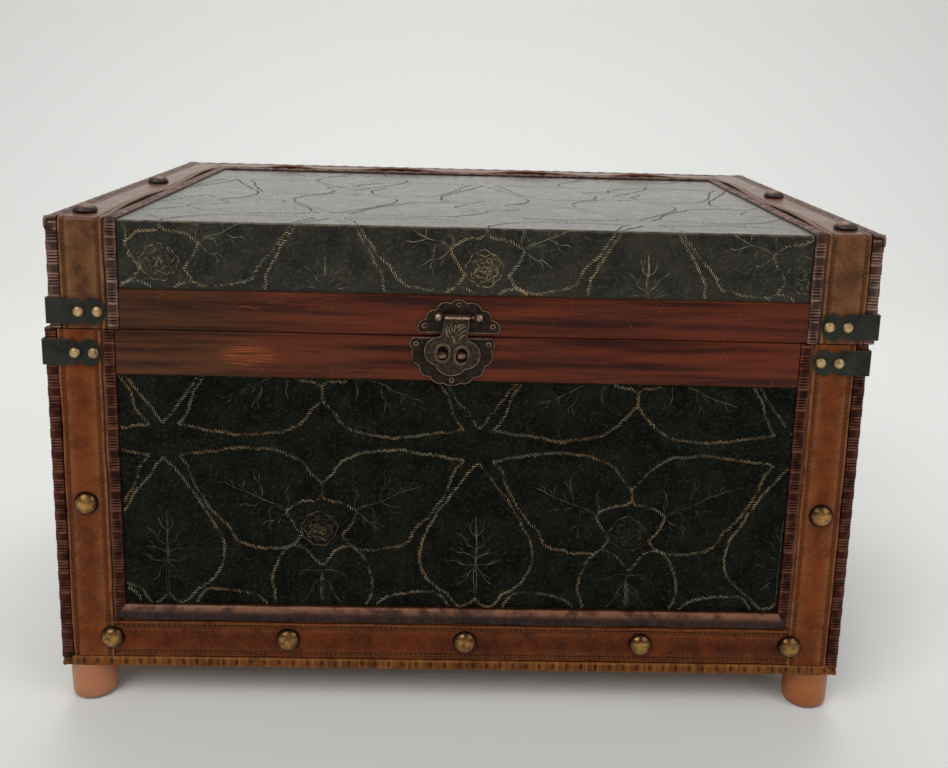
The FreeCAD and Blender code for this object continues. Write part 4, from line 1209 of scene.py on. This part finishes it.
dark_leather = leather("embossed_dark_leather", (3, 5, 3), (16, 19, 12), (80, 76, 56), (4, 4, 3), 0.36,
                       pore=900, creases=0.6, bump=0.3, gloss=0.05, specks=0.25)
lid_leather = leather("lid_dark_leather", (14, 14, 10), (39, 37, 27), (104, 94, 72), (8, 8, 6), 0.36,
                      pore=900, creases=0.6, bump=0.3, gloss=0.22, specks=0.32)
top_leather = leather("polished_top_leather", (16, 16, 13), (32, 31, 25), (110, 100, 84), (8, 8, 7), 0.29,
                      pore=900, creases=1.0, gloss=0.2, specks=0.3, crinkle=1.6, **CLEAR_POLISH)
strap_leather = leather("tan_strap_leather", (82, 36, 9), (112, 53, 14), (142, 98, 66), (34, 14, 6), 0.42,
                        pore=1300, bump=0.35, gloss=0.1, specks=0.25)
lid_strap = leather("lid_strap_leather", (60, 34, 18), (104, 66, 38), (140, 100, 66), (32, 16, 9), 0.42,
                    pore=1300, bump=0.35, specks=0.25)
top_strap = leather("polished_strap_leather", (72, 40, 24), (104, 62, 38), (112, 78, 58), (34, 17, 11), 0.34,
                    pore=1300, creases=0.9, gloss=0.2, **WARM_POLISH)
low_strap = leather("brown_strap_leather", (58, 22, 7), (98, 42, 13), (124, 74, 38), (30, 12, 6), 0.42,
                    pore=1300, bump=0.35, gloss=0.1, specks=0.35)
lid_welt = leather("lid_welt_leather", (30, 17, 13), (46, 27, 21), (134, 100, 84), (9, 5, 4), 0.36,
                   creases=0.3, gloss=0.16)
base_welt = leather("oxblood_welt_leather", (14, 5, 3), (48, 13, 8), (104, 60, 44), (5, 2, 2), 0.36,
                    creases=0.3, gloss=0.07)
bead_leather = leather("oxblood_bead_leather", (34, 15, 9), (60, 29, 16), (118, 78, 56), (12, 6, 5), 0.3,
                       creases=1.0, gloss=0.25)
bottom_welt = leather("tan_welt_leather", (72, 36, 12), (114, 65, 25), (142, 90, 44), (30, 14, 7), 0.42,
                      creases=0.5, gloss=0.1, grime_and_shade=0.95, specks=0.3)
tab_leather = leather("black_tab_leather", (18, 20, 16), (36, 36, 28), (96, 90, 76), (10, 10, 9), 0.38,
                      creases=0.5, gloss=0.2, specks=0.2)
tab_edge = leather("tab_cut_edge", (48, 44, 36), (92, 84, 70), (110, 104, 92), (20, 18, 16), 0.5, creases=1.0)


def ridge_finish(name, faint, bright, grey, rough=0.45, gloss=0.2, **more):
    """The pattern's raised lines: faint in places, rubbed bright or grey in others, and given a painted
    highlight where each twisted strand rises.
    """
    def build(tree):
        grain = use(tree, LEATHER_GRAIN, Pore_size=1400, Creases=0.2)
        wear_and_light = use(tree, WEAR_AND_LIGHT, Patch_size=240.0)
        cloud = between(tree, clouds(tree, position(tree), 30.0, 2.0), 0.42, 0.58)
        top = blend_colours(tree, cloud, paint(*bright), paint(*grey))
        return blend_colours(tree, wear_and_light["Worn_and_highlight"], paint(*faint), top), grain["Height"]
    return finish_of(name, build, rough=rough, bump=0.2, Specular_IOR_Level=gloss, **more)


BASE_LINES = {
    "leaf_outlines": ridge_finish("rubbed_gilt_ridge", (14, 12, 8), (150, 122, 86), (126, 120, 98)),
    "leaf_veins": ridge_finish("leaf_vein", (14, 15, 11), (100, 88, 66), (80, 78, 62)),
    "flower_curls": ridge_finish("brown_flower_curl", (18, 12, 7), (92, 68, 42), (94, 80, 54)),
}
LID_LINES = {
    "leaf_outlines": ridge_finish("lid_gilt_ridge", (22, 20, 14), (174, 150, 112), (150, 144, 118),
                                  rough=0.42, gloss=0.3),
    "leaf_veins": ridge_finish("lid_leaf_vein", (24, 24, 18), (128, 118, 92), (108, 106, 86),
                               rough=0.42, gloss=0.3),
    "flower_curls": ridge_finish("lid_flower_curl", (24, 18, 10), (134, 112, 78), (112, 110, 86)),
}
dull_ridge = ridge_finish("dull_top_ridge", (22, 20, 15), (88, 75, 56), (76, 72, 58), 0.36, 0.3,
                          Coat_Weight=0.8, **POLISH)


def thread_finish():
    def build(tree):
        twist = clouds(tree, position(tree), 1500.0, 3.0)
        return blend_colours(tree, twist, paint(44, 22, 10), paint(132, 82, 42)), twist
    return finish_of("waxed_thread", build, rough=0.6, bump=0.3, Specular_IOR_Level=0.1)


# Wood

WORN_SPOT = (-0.112, 0.2015)            # in metres: x and z of the bare spot on the front band
WORN_SPOT_SCALE = (62.0, 150.0)


def band_wood_finish():
    """Red lacquer, browner to the left, with scratches and one spot worn bare."""
    def build(tree):
        grain = use(tree, WOOD_GRAIN, Fineness=1.0)
        where = position(tree)
        x, y, z = (split_of(tree, where)[axis] for axis in "XYZ")
        figure = between(tree, grain["Figure"], 0.34, 0.66)
        red = blend_colours(tree, figure, paint(40, 14, 7), paint(92, 39, 20))
        brown = blend_colours(tree, figure, paint(42, 22, 11), paint(82, 47, 25))
        drift = sums(tree, "ADD", x, sums(tree, "MULTIPLY_ADD", clouds(tree, where, 16.0, 3.0), 0.2, -0.1))
        colour = blend_colours(tree, between(tree, drift, -0.16, -0.02), brown, red)
        fibre = times(tree, between(tree, grain["Fibre"], 0.52, 0.74), 0.22)
        colour = blend_colours(tree, fibre, colour, paint(120, 62, 38))
        pores = between(tree, grain["Fibre"], 0.3, 0.42, 0.6, 0.0)
        colour = blend_colours(tree, pores, colour, paint(26, 11, 9))
        nicks = use(tree, SCRATCHES, Spread=30.0, Width=0.004)["Scratch"]
        colour = blend_colours(tree, times(tree, nicks, 0.22), colour, paint(150, 86, 54))
        squares = []
        for axis, middle, scale in zip((x, z), WORN_SPOT, WORN_SPOT_SCALE):
            off = times(tree, sums(tree, "SUBTRACT", axis, middle), scale)
            squares.append(times(tree, off, off))
        reach = sums(tree, "SQRT", sums(tree, "ADD", *squares))
        bare = times(tree, between(tree, reach, 0.3, 1.2, 1.0, 0.0), between(tree, grain["Fibre"], 0.42, 0.6))
        bare = times(tree, bare, sums(tree, "LESS_THAN", y, 0.0))
        colour = blend_colours(tree, times(tree, bare, 0.8), colour, paint(156, 82, 38))
        height = sums(tree, "MULTIPLY_ADD", nicks, -0.3, grain["Fibre"])
        return colour, height, sums(tree, "MULTIPLY_ADD", grain["Figure"], 0.25, 0.2)
    return finish_of("polished_red_wood", build, bump=0.15, Specular_IOR_Level=0.12)


def bare_wood_finish():
    def build(tree):
        grain = use(tree, WOOD_GRAIN, Fineness=0.6)
        figure = between(tree, grain["Figure"], 0.3, 0.7)
        colour = blend_colours(tree, figure, paint(112, 74, 46), paint(150, 108, 70))
        pores = between(tree, grain["Fibre"], 0.3, 0.45, 0.5, 0.0)
        return blend_colours(tree, pores, colour, paint(62, 38, 24)), grain["Fibre"]
    return finish_of("plain_carcase_wood", build, rough=0.62, bump=0.25)


def foot_wood_finish():
    """The feet on the left are pink wood, those on the right amber, all dark at the floor."""
    def build(tree):
        place_in = split_of(tree, position(tree))
        grain = use(tree, WOOD_GRAIN, Fineness=0.5)
        figure = between(tree, grain["Figure"], 0.3, 0.7)
        pink = blend_colours(tree, figure, paint(156, 94, 58), paint(176, 112, 74))
        amber = blend_colours(tree, figure, paint(134, 70, 20), paint(156, 86, 30))
        colour = blend_colours(tree, between(tree, place_in["X"], -0.02, 0.02), pink, amber)
        sole = between(tree, place_in["Z"], 0.0, 0.0035, 0.55, 0.0)
        return blend_colours(tree, sole, colour, paint(74, 44, 26)), grain["Fibre"]
    return finish_of("varnished_foot_wood", build, rough=0.42, bump=0.08, Coat_Weight=0.12)


# Metal


def metal_finish(name, deep, light, worn_and_highlight, rough, metal, size=260.0, bump=0.2, **more):
    """Tarnished metal: deep and light are its own colours, the third colour shows on its crests, worn and
    given a painted highlight, and a darker deep is painted shade where a piece is marked dark.
    """
    def build(tree):
        patina = use(tree, TARNISH, Size=size)
        wear_and_light = use(tree, WEAR_AND_LIGHT, Patch_size=300.0)
        colour = blend_colours(tree, patina["Brown"], paint(*light), paint(*deep))
        colour = blend_colours(tree, wear_and_light["Worn_and_highlight"], colour, paint(*worn_and_highlight))
        # Darker where a piece is marked dark: painted shade, used for the dark rims of the nail domes.
        colour = blend_colours(tree, wear_and_light["Grimy_and_shaded"], colour, paint(*(0.4 * part for part in deep)))
        return colour, patina["Pits"], sums(tree, "MULTIPLY_ADD", patina["Brown"], 0.2, rough)
    return finish_of(name, build, metal=metal, bump=bump, **more)


thread = thread_finish()
band_wood = band_wood_finish()
carcase_wood = bare_wood_finish()
foot_wood = foot_wood_finish()
nail_brass = metal_finish("aged_nail_brass", (30, 17, 7), (96, 64, 30), (164, 122, 68), 0.14, 0.8, bump=0.06)
top_nail_brass = metal_finish("dull_top_nail_brass", (44, 30, 22), (84, 60, 44), (120, 92, 70), 0.34, 0.35)
tab_brass = metal_finish("bright_nail_brass", (84, 62, 34), (160, 132, 86), (192, 164, 116), 0.3, 0.7)
bronze = metal_finish("dark_latch_bronze", (13, 8, 5), (40, 27, 17), (120, 98, 70), 0.36, 0.3, size=420.0,
                      bump=0.4, Specular_IOR_Level=0.2)
hasp_bronze = metal_finish("worn_hasp_bronze", (16, 12, 7), (62, 50, 32), (146, 124, 92), 0.34, 0.4,
                           size=600.0, bump=0.8, Specular_IOR_Level=0.25)
bronze_edge = metal_finish("rubbed_bronze_edge", (30, 21, 15), (88, 69, 52), (142, 116, 92), 0.32, 0.55,
                           size=420.0)
pin_bronze = metal_finish("bright_pin_bronze", (72, 50, 40), (146, 114, 96), (174, 144, 124), 0.27, 0.85,
                          size=420.0)
steel = metal_finish("nail_steel", (70, 68, 66), (140, 138, 134), (170, 168, 164), 0.4, 0.9)
hinge_brass = metal_finish("hinge_brass", (96, 74, 38), (164, 134, 76), (196, 168, 108), 0.34, 0.85)


# The box's leather

PANEL_LOW, PANEL_HIGH = 59.8, 189.2
PANEL_MIRROR = 153.8                    # height of the pattern's mirror line
PANEL_NODES = ("base_front_panel", "base_side_panels", "base_back_panel", "base_side_panels")
PANEL_NAMES = ("front", "right", "back", "left")
PANEL_SHIFTS = (11.1, 20.0, -35.0, 60.0)

for side, node, name, shift in zip(base_sides, PANEL_NODES, PANEL_NAMES, PANEL_SHIFTS):
    field = Field(side, PANEL_LOW, PANEL_HIGH, side.turn * 5.0)
    place("base_%s_leather" % name, field.skin(), "box", dark_leather, (node,), angle=40)
    piles = pattern_piles()
    emboss_field(piles, field, rows_about(PANEL_MIRROR, 83.2, 0.0, PANEL_NEAR_ROW), shift)
    for title, pile in piles.items():
        place("base_%s_%s" % (name, title), pile, "box", BASE_LINES[title], angle=70)

# Heights of the middles of the level pieces, and where the upright welts begin
BOTTOM_WELT_Z, LOW_STRAP_Z, BEAD_STITCH_Z, BEAD_Z = 25.1, 38.9, 48.2, 55.0
WELT_LOW, CORNER_WELT_LOW = 50.6, 27.0
LOW_STRAP_WIDTH, BEAD_WIDTH, BOTTOM_WELT_WIDTH = 21.0, 9.2, 6.0
BEAD_THICK, BOTTOM_WELT_THICK = 3.4, 2.4

straps, low_straps, stitches, bead_stitches = Pile(), Pile(), Pile(), Pile()
welts, beads, bottom_welts, corner_welts = Pile(), Pile(), Pile(), Pile()
for side in base_sides:
    for sign in (-1, 1):
        seed = side.turn * 10 + sign * 3
        upright = upright_track(side, sign * (side.half - STRAP_MIDDLE), STRAP_LOW, BASE_TOP)
        lay_strap(straps, stitches, upright, STRAP_WIDTH, seed)
        upright = upright_track(side, sign * (side.half - WELT_MIDDLE), WELT_LOW, BASE_TOP)
        lay_welt(welts, upright, WELT_WIDTH, WELT_THICK, ribs, 4 + seed, mitres=(-sign * 1.5, 0))
    inner = side.half - CORNER_LEG - STRAP_WIDTH - 0.3
    lay_strap(low_straps, stitches, level_track(side, LOW_STRAP_Z, inner), LOW_STRAP_WIDTH, side.turn + 40)
    lay_welt(beads, level_track(side, BEAD_Z, side.half - WELT_MIDDLE), BEAD_WIDTH, BEAD_THICK, rolled,
             step=0.9, depth=0.12, mitres=(0.66, -0.66), painted_light=0.8)
    level = level_track(side, BEAD_STITCH_Z, inner)
    sew_row(bead_stitches, level, 0.0, 2.35, side.turn, pitch=3.1, length=2.1)
    lay_welt(bottom_welts, level_track(side, BOTTOM_WELT_Z, side.half - 1.0), BOTTOM_WELT_WIDTH,
             BOTTOM_WELT_THICK, spots, depth=0.3, mitres=(1.0, -1.0), hollow=0.62)
for corner in range(4):
    edge = corner_track("box", corner, CORNER_WELT_LOW, BASE_TOP)
    lay_folded_welt(corner_welts, edge, CORNER_LEG, 2.0 + corner * 3)

place("base_upright_strap_leather", straps, "box", strap_leather, ("base_corner_straps",))
place("base_low_strap_leather", low_straps, "box", low_strap, ("base_bottom_straps",))
place("base_strap_stitches", stitches, "box", thread)
place("base_bead_stitches", bead_stitches, "box", thread)
place("base_ribbed_welts", welts, "box", base_welt, ("base_inner_welts",))
place("base_panel_beads", beads, "box", bead_leather, ("base_inner_welts",))
place("base_corner_ribbed_welts", corner_welts, "box", base_welt, ("base_corner_welts",))
place("base_spotted_welts", bottom_welts, "box", bottom_welt, ("base_bottom_welts",))


# The lid's leather

TOP_RUN, FIELD_RUN = 270.8, 240.9       # of the wrap straps and of the sheet, over the top
LID_PANEL_LOW, LID_PANEL_HIGH = 235.3, 265.5
LID_SHIFT_A, LID_SHIFT_B = 10.15, 93.45
LID_MIRROR, BACK_MIRROR = 299.3, 460.3
BACK_ROWS = [(BACK_MIRROR + NEAR_ROW, "B", -1, LID_SHIFT_B), (BACK_MIRROR + FAR_ROW, "A", -1, LID_SHIFT_A)]
SIDE_ROWS = [(251.0, "A", 1, 20.0), (188.0, "B", 1, 103.0)]
LID_PANEL_NODES = ("lid_side_panels", "lid_back_panel", "lid_side_panels")
LID_WELT_TOP, CORNER_END_LOW = 265.9, 265.2
EDGE_LEG = 4.2

cover_end = top_z + FOLD_LENGTH + FIELD_RUN - 0.5
cover = Field(lid_front, LID_PANEL_LOW, cover_end, 31.0, wraps=True)
skin = place("lid_cover_leather", cover.skin(), "lid", lid_leather, ("lid_cover_sheet",), 40)
on_top(skin, top_leather)
piles = pattern_piles()
emboss_field(piles, cover, rows_about(LID_MIRROR, LID_SHIFT_A, LID_SHIFT_B) + BACK_ROWS)
for side, node, name in zip(lid_sides[1:], LID_PANEL_NODES, PANEL_NAMES[1:]):
    field = Field(side, LID_PANEL_LOW, LID_PANEL_HIGH, 40.0 + side.turn)
    place("lid_%s_leather" % name, field.skin(), "lid", lid_leather, (node,), angle=40)
    emboss_field(piles, field, SIDE_ROWS)
for title, pile in piles.items():
    on_top(place("lid_" + title, pile, "lid", LID_LINES[title], angle=70), dull_ridge)


def loose_edge(places):
    """The wrap straps' inner edge on the top: it has come away between the nails."""
    back = places - 58.6
    rise = np.zeros(len(places))
    for start, length, height in ((0, 135, 1.9), (145, 115, 2.1)):
        rise += np.sin(np.clip((back - start) / length, 0, 1) * math.pi) ** 2 * height
    return rise


def strap_humps(places):
    """The back strap's loose front edge: down at the nails, up between them."""
    valleys = (22.0, 84.0, 182.0, 280.0, 350.0)
    rise = np.zeros(len(places))
    for low, high in zip(valleys, valleys[1:]):
        rise += 2.4 * np.sin(np.clip((places - low) / (high - low), 0, 1) * math.pi) ** 2
    return rise


straps, stitches = Pile(), Pile()
welts, edge_welts, corner_welts = Pile(), Pile(), Pile()
for sign in (-1, 1):
    wrap = over_edge_track(sign * (lid_half - STRAP_MIDDLE), TOP_RUN)
    lay_strap(straps, stitches, wrap, STRAP_WIDTH, 60 + sign, lift=loose_edge, edge_side=-sign)
    wrap = over_edge_track(sign * (lid_half - WELT_MIDDLE), FIELD_RUN)
    lay_welt(welts, wrap, WELT_WIDTH, WELT_THICK, ribs, 63 + sign)
for side in lid_sides[1:]:
    for sign in (-1, 1):
        seed = 70 + side.turn * 4 + sign
        upright = upright_track(side, sign * (side.half - STRAP_MIDDLE), LID_LOW, LID_SIDE_TOP)
        lay_strap(straps, stitches, upright, STRAP_WIDTH, seed)
        upright = upright_track(side, sign * (side.half - WELT_MIDDLE), LID_LOW, LID_SIDE_TOP)
        lay_welt(welts, upright, WELT_WIDTH, WELT_THICK, ribs, seed)
for corner in range(4):
    edge = corner_track("lid", corner, LID_LOW, LID_WELT_TOP)
    lay_folded_welt(corner_welts, edge, CORNER_LEG, 7.0 + corner * 3)
for side in (lid_sides[0], lid_sides[2]):
    for sign in (-1, 1):
        u = sign * (side.half - (CORNER_LEG - STRAP_THICK) / 2)
        corner_end = upright_track(side, u, CORNER_END_LOW, top_z + STRAP_THICK - 0.25)
        lay_welt(corner_welts, corner_end, CORNER_LEG + STRAP_THICK, STRAP_THICK, ribs, 2.2, depth=0.25)
front_end, back_end = lid_low[1] - STRAP_THICK + 0.1, lid_high[1] + STRAP_THICK - 0.1
for sign, x in ((-1, lid_low[0]), (1, lid_high[0])):
    edge = Track([(x, front_end, top_z), (x, back_end, top_z)], (-sign, 0, 0), UP)
    lay_folded_welt(edge_welts, edge, EDGE_LEG, 1.0)
lay_folded_welt(edge_welts, over_top_track(lid_half - CORNER_LEG - 0.1, lid_high[1]), EDGE_LEG, 5.0)

front_y = lid_front.middle[1] - lid_front.reach
half = lid_half - CORNER_LEG - STRAP_WIDTH - 0.2
back_strap = over_top_track(half, front_y + TOP_RUN - STRAP_WIDTH / 2)
lay_strap(straps, stitches, back_strap, STRAP_WIDTH, 91, lift=strap_humps)
bead = over_top_track(half - 1.0, front_y + FIELD_RUN + 0.2 + WELT_WIDTH / 2)
lay_welt(welts, bead, WELT_WIDTH, WELT_THICK, ribs, 2.0)

strap_nodes = ("lid_wrap_straps", "lid_upright_straps", "lid_back_top_strap")
welt_nodes = ("lid_front_welts", "lid_upright_welts", "lid_top_bead")
on_top(place("lid_strap_leather", straps, "lid", lid_strap, strap_nodes), top_strap)
place("lid_strap_stitches", stitches, "lid", thread)
place("lid_ribbed_welts", welts, "lid", lid_welt, welt_nodes)
place("lid_corner_ribbed_welts", corner_welts, "lid", lid_welt, ("lid_corner_welts",))
place("lid_edge_ribbed_welts", edge_welts, "lid", lid_welt, ("lid_edge_welts",))


# Wood bands, tabs, nails and feet

for part, body in (("base", "box"), ("lid", "lid")):
    for band in ("_front_band", "_back_band", "_side_bands"):
        name = (part + band).replace("band", "wood_strip")
        dressed(part + band, name, band_wood, body, 0.35)
for node, body in (("base_corner_tabs", "box"), ("lid_corner_tabs", "lid")):
    dressed(node, node + "_leather", tab_leather, body, 0.22, tab_edge)

# Each group of domed nails: its body, the height of a head and its brass
DOMED_NAILS = {
    "base_tab_nails": ("box", 2.2, tab_brass),
    "lid_tab_nails": ("lid", 2.2, tab_brass),
    "base_strap_nails": ("box", 4.4, nail_brass),
    "lid_strap_nails": ("lid", 4.4, top_nail_brass),
}
# From a dome's foot to its tip: the crown is lightened for wear and a painted highlight, the rim is darkened
# with painted shade that stands for a dark reflection.
DOME_WEAR_AND_HIGHLIGHT = (0.0, 0.0, 0.05, 0.1, 0.3, 0.55, 0.85, 1.0, 1.0)
DOME_PAINTED_DARK_RIM = (1.0, 0.9, 0.8, 0.55, 0.3, 0.1, 0.0, 0.0, 0.0)
for node, (body, height, brass) in DOMED_NAILS.items():
    pile = Pile()
    for index, (tip, out, radius) in enumerate(nail_heads(node, body)):
        profile = dome_profile(radius, height, brass is tab_brass and index % 3 == 0)
        turned(pile, tip - out * height, out, profile, sides=24, rub=DOME_WEAR_AND_HIGHLIGHT, grime_and_shade=DOME_PAINTED_DARK_RIM, dents=0.03)
    place(node + "_domes", pile, body, brass, (node,), angle=60)

SCREW_HOLE = [(0.6, 2.4), (3.6, 2.4), (3.9, 2.0), (3.9, 0.35), (4.2, 0.0)]
# Points up a foot's side: how far inside its radius, and how high
FOOT_SIDE = [(3.2, 0.0), (2.0, 0.35), (1.0, 1.2), (0.5, 2.6), (0.35, 5.0), (0.2, 12.0), (0.15, 18.0)]
feet = Pile()
for low, high in islands("feet"):
    radius = (high - low)[0] / 2
    top = high[2] - 0.1
    outside = [(radius - inset, height) for inset, height in FOOT_SIDE]
    profile = SCREW_HOLE + outside + [(radius, top), (0.6, top)]
    turned(feet, (low + high) / 2 * (1, 1, 0), UP, profile, sides=36)
place("turned_feet", feet, "box", foot_wood, ("feet",), angle=45)


# The latch and the hinges

HASP_STROKES = [
    [(-5.4, -3.8), (-3.8, -6.8), (-2.0, -9.6)], [(-3.0, -3.4), (-2.4, -6.0), (-1.0, -8.4)],
    [(-5.2, -7.8), (-4.2, -9.8), (-2.8, -11.6)], [(5.4, -4.2), (3.0, -5.6), (1.0, -8.2)],
    [(5.6, -6.4), (3.6, -7.6), (1.2, -10.4)], [(5.6, -8.8), (4.0, -9.8), (1.6, -12.4)],
    [(1.8, -3.4), (1.0, -4.8), (0.2, -5.8)], [(-5.6, -5.8), (-4.6, -8.0), (-3.4, -9.4)],
    [(4.0, -3.4), (2.4, -4.4), (1.4, -5.8)], [(-0.4, -4.0), (-0.6, -6.4), (-0.2, -8.6)],
    [(-1.6, -10.2), (-0.4, -12.0), (0.4, -14.6)], [(0.8, -11.0), (0.4, -12.4), (0.6, -14.0)],
]
HASP_LEAN, HASP_TOP = math.radians(6.858), np.array((-3.025, 224.7))
# Points over a rivet: its radius as a share, and its height
RIVET = [(1, 0.0), (1, 0.2), (0.9, 0.5), (0.68, 0.62), (0.5, 0.5), (0.42, 0.12), (0.1, 0.1)]
RIVET_RUB = (0.2, 0.5, 1.0, 1.0, 0.4, 0.0, 0.0)
RIVET_HEIGHT = 0.6
# The pin's ball ends, from tip to rod, and a bright bar along the hasp's knuckle, a painted highlight that
# stands for the bright pin seen there
KNOB_PROFILE = [(0.7, 0.0), (1.35, 0.2), (1.85, 0.75), (2.15, 1.6), (2.25, 2.5), (2.1, 3.3), (1.6, 4.1),
                (1.0, 4.55)]
KNOB_RUB = [1.0, 1.0, 0.9, 0.6, 0.3, 0.1, 0.0, 0.0]
ROD_RADIUS = 0.76
BAR_THICK, BAR_OUT, BAR_END = 0.72, 0.02, 0.12

dressed("latch_lower_plate", "latch_lower_plate_bronze", bronze, "box", 0.12, bronze_edge)
dressed("latch_upper_plate", "latch_upper_plate_bronze", bronze, "lid", 0.12, bronze_edge)
dressed("padlock_eyes", "padlock_eyes_bronze", pin_bronze, "box", 0.45)
dressed("latch_hasp", "latch_hasp_bronze", hasp_bronze, "hasp", 0.14, bronze_edge)
for node, body in (("latch_lower_nails", "box"), ("latch_upper_nails", "lid")):
    pile = Pile()
    for tip, out, radius in nail_heads(node, body):
        profile = [(radius * share, height) for share, height in RIVET]
        turned(pile, tip - out * RIVET_HEIGHT, out, profile, sides=18, rub=RIVET_RUB)
    place(node + "_rivets", pile, body, bronze, (node,), angle=60)

plate_front = box_mm("latch_lower_plate")[0][1]
hasp_front = plate_front - 1.6
fronts = (("latch_lower_plate", "box", plate_front), ("latch_upper_plate", "lid", plate_front),
          ("latch_hasp", "hasp", hasp_front))
lean_x, lean_z = math.cos(HASP_LEAN), math.sin(HASP_LEAN)
leaning = np.array(((lean_x, -lean_z), (lean_z, lean_x)))
for node, body, front in fronts:
    pile = Pile()
    outline = max(face_loops(node, front), key=lambda loop: abs(loop_area(loop)))
    border(pile, outline, 0.3, front, rub=0.7)
    if node == "latch_hasp":
        for points in HASP_STROKES:
            stroke(pile, np.array(points) @ leaning + HASP_TOP, front, 0.24)
        for rim in face_loops(node, front - 0.5):
            border(pile, rim, 0.0, front - 0.45)
    place(node + "_border", pile, body, bronze_edge, angle=70)

low, high = box_mm("latch_pin")
pin_middle = (low + high) / 2
rod = [(ROD_RADIUS, KNOB_PROFILE[-1][1] + 0.15), (ROD_RADIUS, (high[0] - low[0]) / 2 + 0.01)]
knobs = Pile()
for end, way in ((low[0], 1.0), (high[0], -1.0)):
    tip = np.array((end, pin_middle[1], pin_middle[2]))
    turned(knobs, tip, (way, 0, 0), KNOB_PROFILE + rod, rub=KNOB_RUB + [0.3, 0.3])
place("latch_pin_knobs", knobs, "lid", pin_bronze, ("latch_pin",), angle=60)

# A bright bar along the front of the hasp's knuckle: a painted highlight standing for the bright pin.
hasp_points = np.array([vert.co for vert in frame["nodes"]["latch_hasp"].data.vertices]) / MM
knuckle = hasp_points[hasp_points[:, 2] > pin_middle[2]]
places = np.linspace(knuckle[:, 0].min() + BAR_END, knuckle[:, 0].max() - BAR_END, 16)
from_end = np.minimum(places - places[0], places[-1] - places)
thin = BAR_THICK * np.clip(0.5 + from_end, 0, 1)
ring = np.stack([np.zeros(10), np.cos(circle(10)) * 0.6, np.sin(circle(10))], axis=1)
line = np.array([(x, hasp_points[:, 1].min() + BAR_OUT, pin_middle[2]) for x in places])
bar = Pile()
bar.loft(line[:, None] + thin[:, None, None] * ring, 1.0)
place("latch_knuckle_painted_highlight", bar, "hasp", pin_bronze, angle=70)

for node, body in (("hinge_lower_leaves", "box"), ("hinge_pins", "box"), ("hinge_upper_leaves", "lid")):
    dressed(node, node + "_brass", hinge_brass, body, 0.2)

# Nodes shown as they are
BOARD_NODES = [node for node in frame["nodes"] if node.endswith("_board") or node.endswith("_rail")]
for material, nodes in (
    (carcase_wood, BOARD_NODES),
    (steel, ["foot_nails"]),
    (hinge_brass, ["hinge_lower_nails", "hinge_upper_nails"]),
):
    for node in nodes:
        mesh = frame["nodes"][node].data
        if not mesh.materials:
            mesh.materials.append(material)
        for index in range(len(mesh.materials)):
            mesh.materials[index] = material


# Floor, backdrop, lamps and camera


def studio():
    """A pale floor that turns up into a pale wall far behind."""
    bend = np.linspace(0.15, QUARTER, 10)
    rows = [(-2.5, 0.0), (0.9, 0.0)] + [(0.9 + 0.5 * math.sin(t), 0.5 - 0.5 * math.cos(t)) for t in bend]
    rows.append((1.4, 2.8))
    points = [(x, y, z) for y, z in rows for x in (-3.0, 3.0)]
    faces = [(2 * i, 2 * i + 1, 2 * i + 3, 2 * i + 2) for i in range(len(rows) - 1)]
    mesh = bpy.data.meshes.new("studio_sweep")
    mesh.from_pydata(points, [], faces)
    mesh.shade_smooth()
    material = bpy.data.materials.new("pale_paper")
    material.use_nodes = True
    shader = material.node_tree.nodes["Principled BSDF"]
    shader.inputs["Base Color"].default_value = paint(224, 224, 221)
    shader.inputs["Roughness"].default_value = 0.9
    mesh.materials.append(material)
    sweep = show("studio_sweep", mesh)
    sweep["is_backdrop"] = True


def lamp(name, place_at, look_at, size, power):
    light = bpy.data.lights.new(name, "AREA")
    light.shape = "RECTANGLE"
    light.size, light.size_y = size
    light.energy = power
    holder = show(name, light)
    holder.location = place_at
    direction = Vector(look_at) - Vector(place_at)
    holder.rotation_euler = direction.to_track_quat("-Z", "Y").to_euler()


def sky():
    world = bpy.data.worlds.new("studio_sky")
    bpy.context.scene.world = world
    world.use_nodes = True
    background = world.node_tree.nodes["Background"]
    background.inputs["Color"].default_value = (0.83, 0.85, 0.87, 1)
    background.inputs["Strength"].default_value = 0.34


# The camera that fits the photo's edges: degrees, and a place in millimetres
CAMERA_TURNS = (10.88, 1.269, 1.536)
CAMERA_PLACE = (-1.308, -657.34, 354.7)
CAMERA_LENS, CAMERA_SHIFT = 39.12, (-0.0112, -0.132)


def camera():
    pitch, yaw, roll = (math.radians(angle) for angle in CAMERA_TURNS)
    tilt = np.array(Matrix.Rotation(pitch, 3, "X"))
    turn = np.array(Matrix.Rotation(yaw, 3, "Z"))
    bank = np.array(Matrix.Rotation(roll, 3, "Y"))
    right, ahead, up = bank @ tilt @ turn
    data = bpy.data.cameras.new("photo_camera")
    data.lens, data.sensor_width = CAMERA_LENS, 36.0
    data.shift_x, data.shift_y = CAMERA_SHIFT
    data.clip_start, data.clip_end = 0.01, 20.0
    holder = show("photo_camera", data)
    matrix = Matrix.Identity(4)
    for row in range(3):
        matrix[row] = (right[row], up[row], -ahead[row], CAMERA_PLACE[row] * MM)
    holder.matrix_world = matrix
    bpy.context.scene.camera = holder


studio()
sky()
lamp("key_lamp", (-0.9, -1.3, 1.5), (0, 0, 0.15), size=(1.2, 1.2), power=21)
lamp("fill_lamp", (1.3, -1.0, 1.1), (0, 0, 0.15), size=(1.2, 1.2), power=10)
lamp("back_lamp", (0.0, 0.7, 1.9), (0, 0.3, 0.2), size=(1.8, 0.8), power=20)
camera()
bpy.context.scene.view_settings.view_transform = "Standard"

low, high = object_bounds()
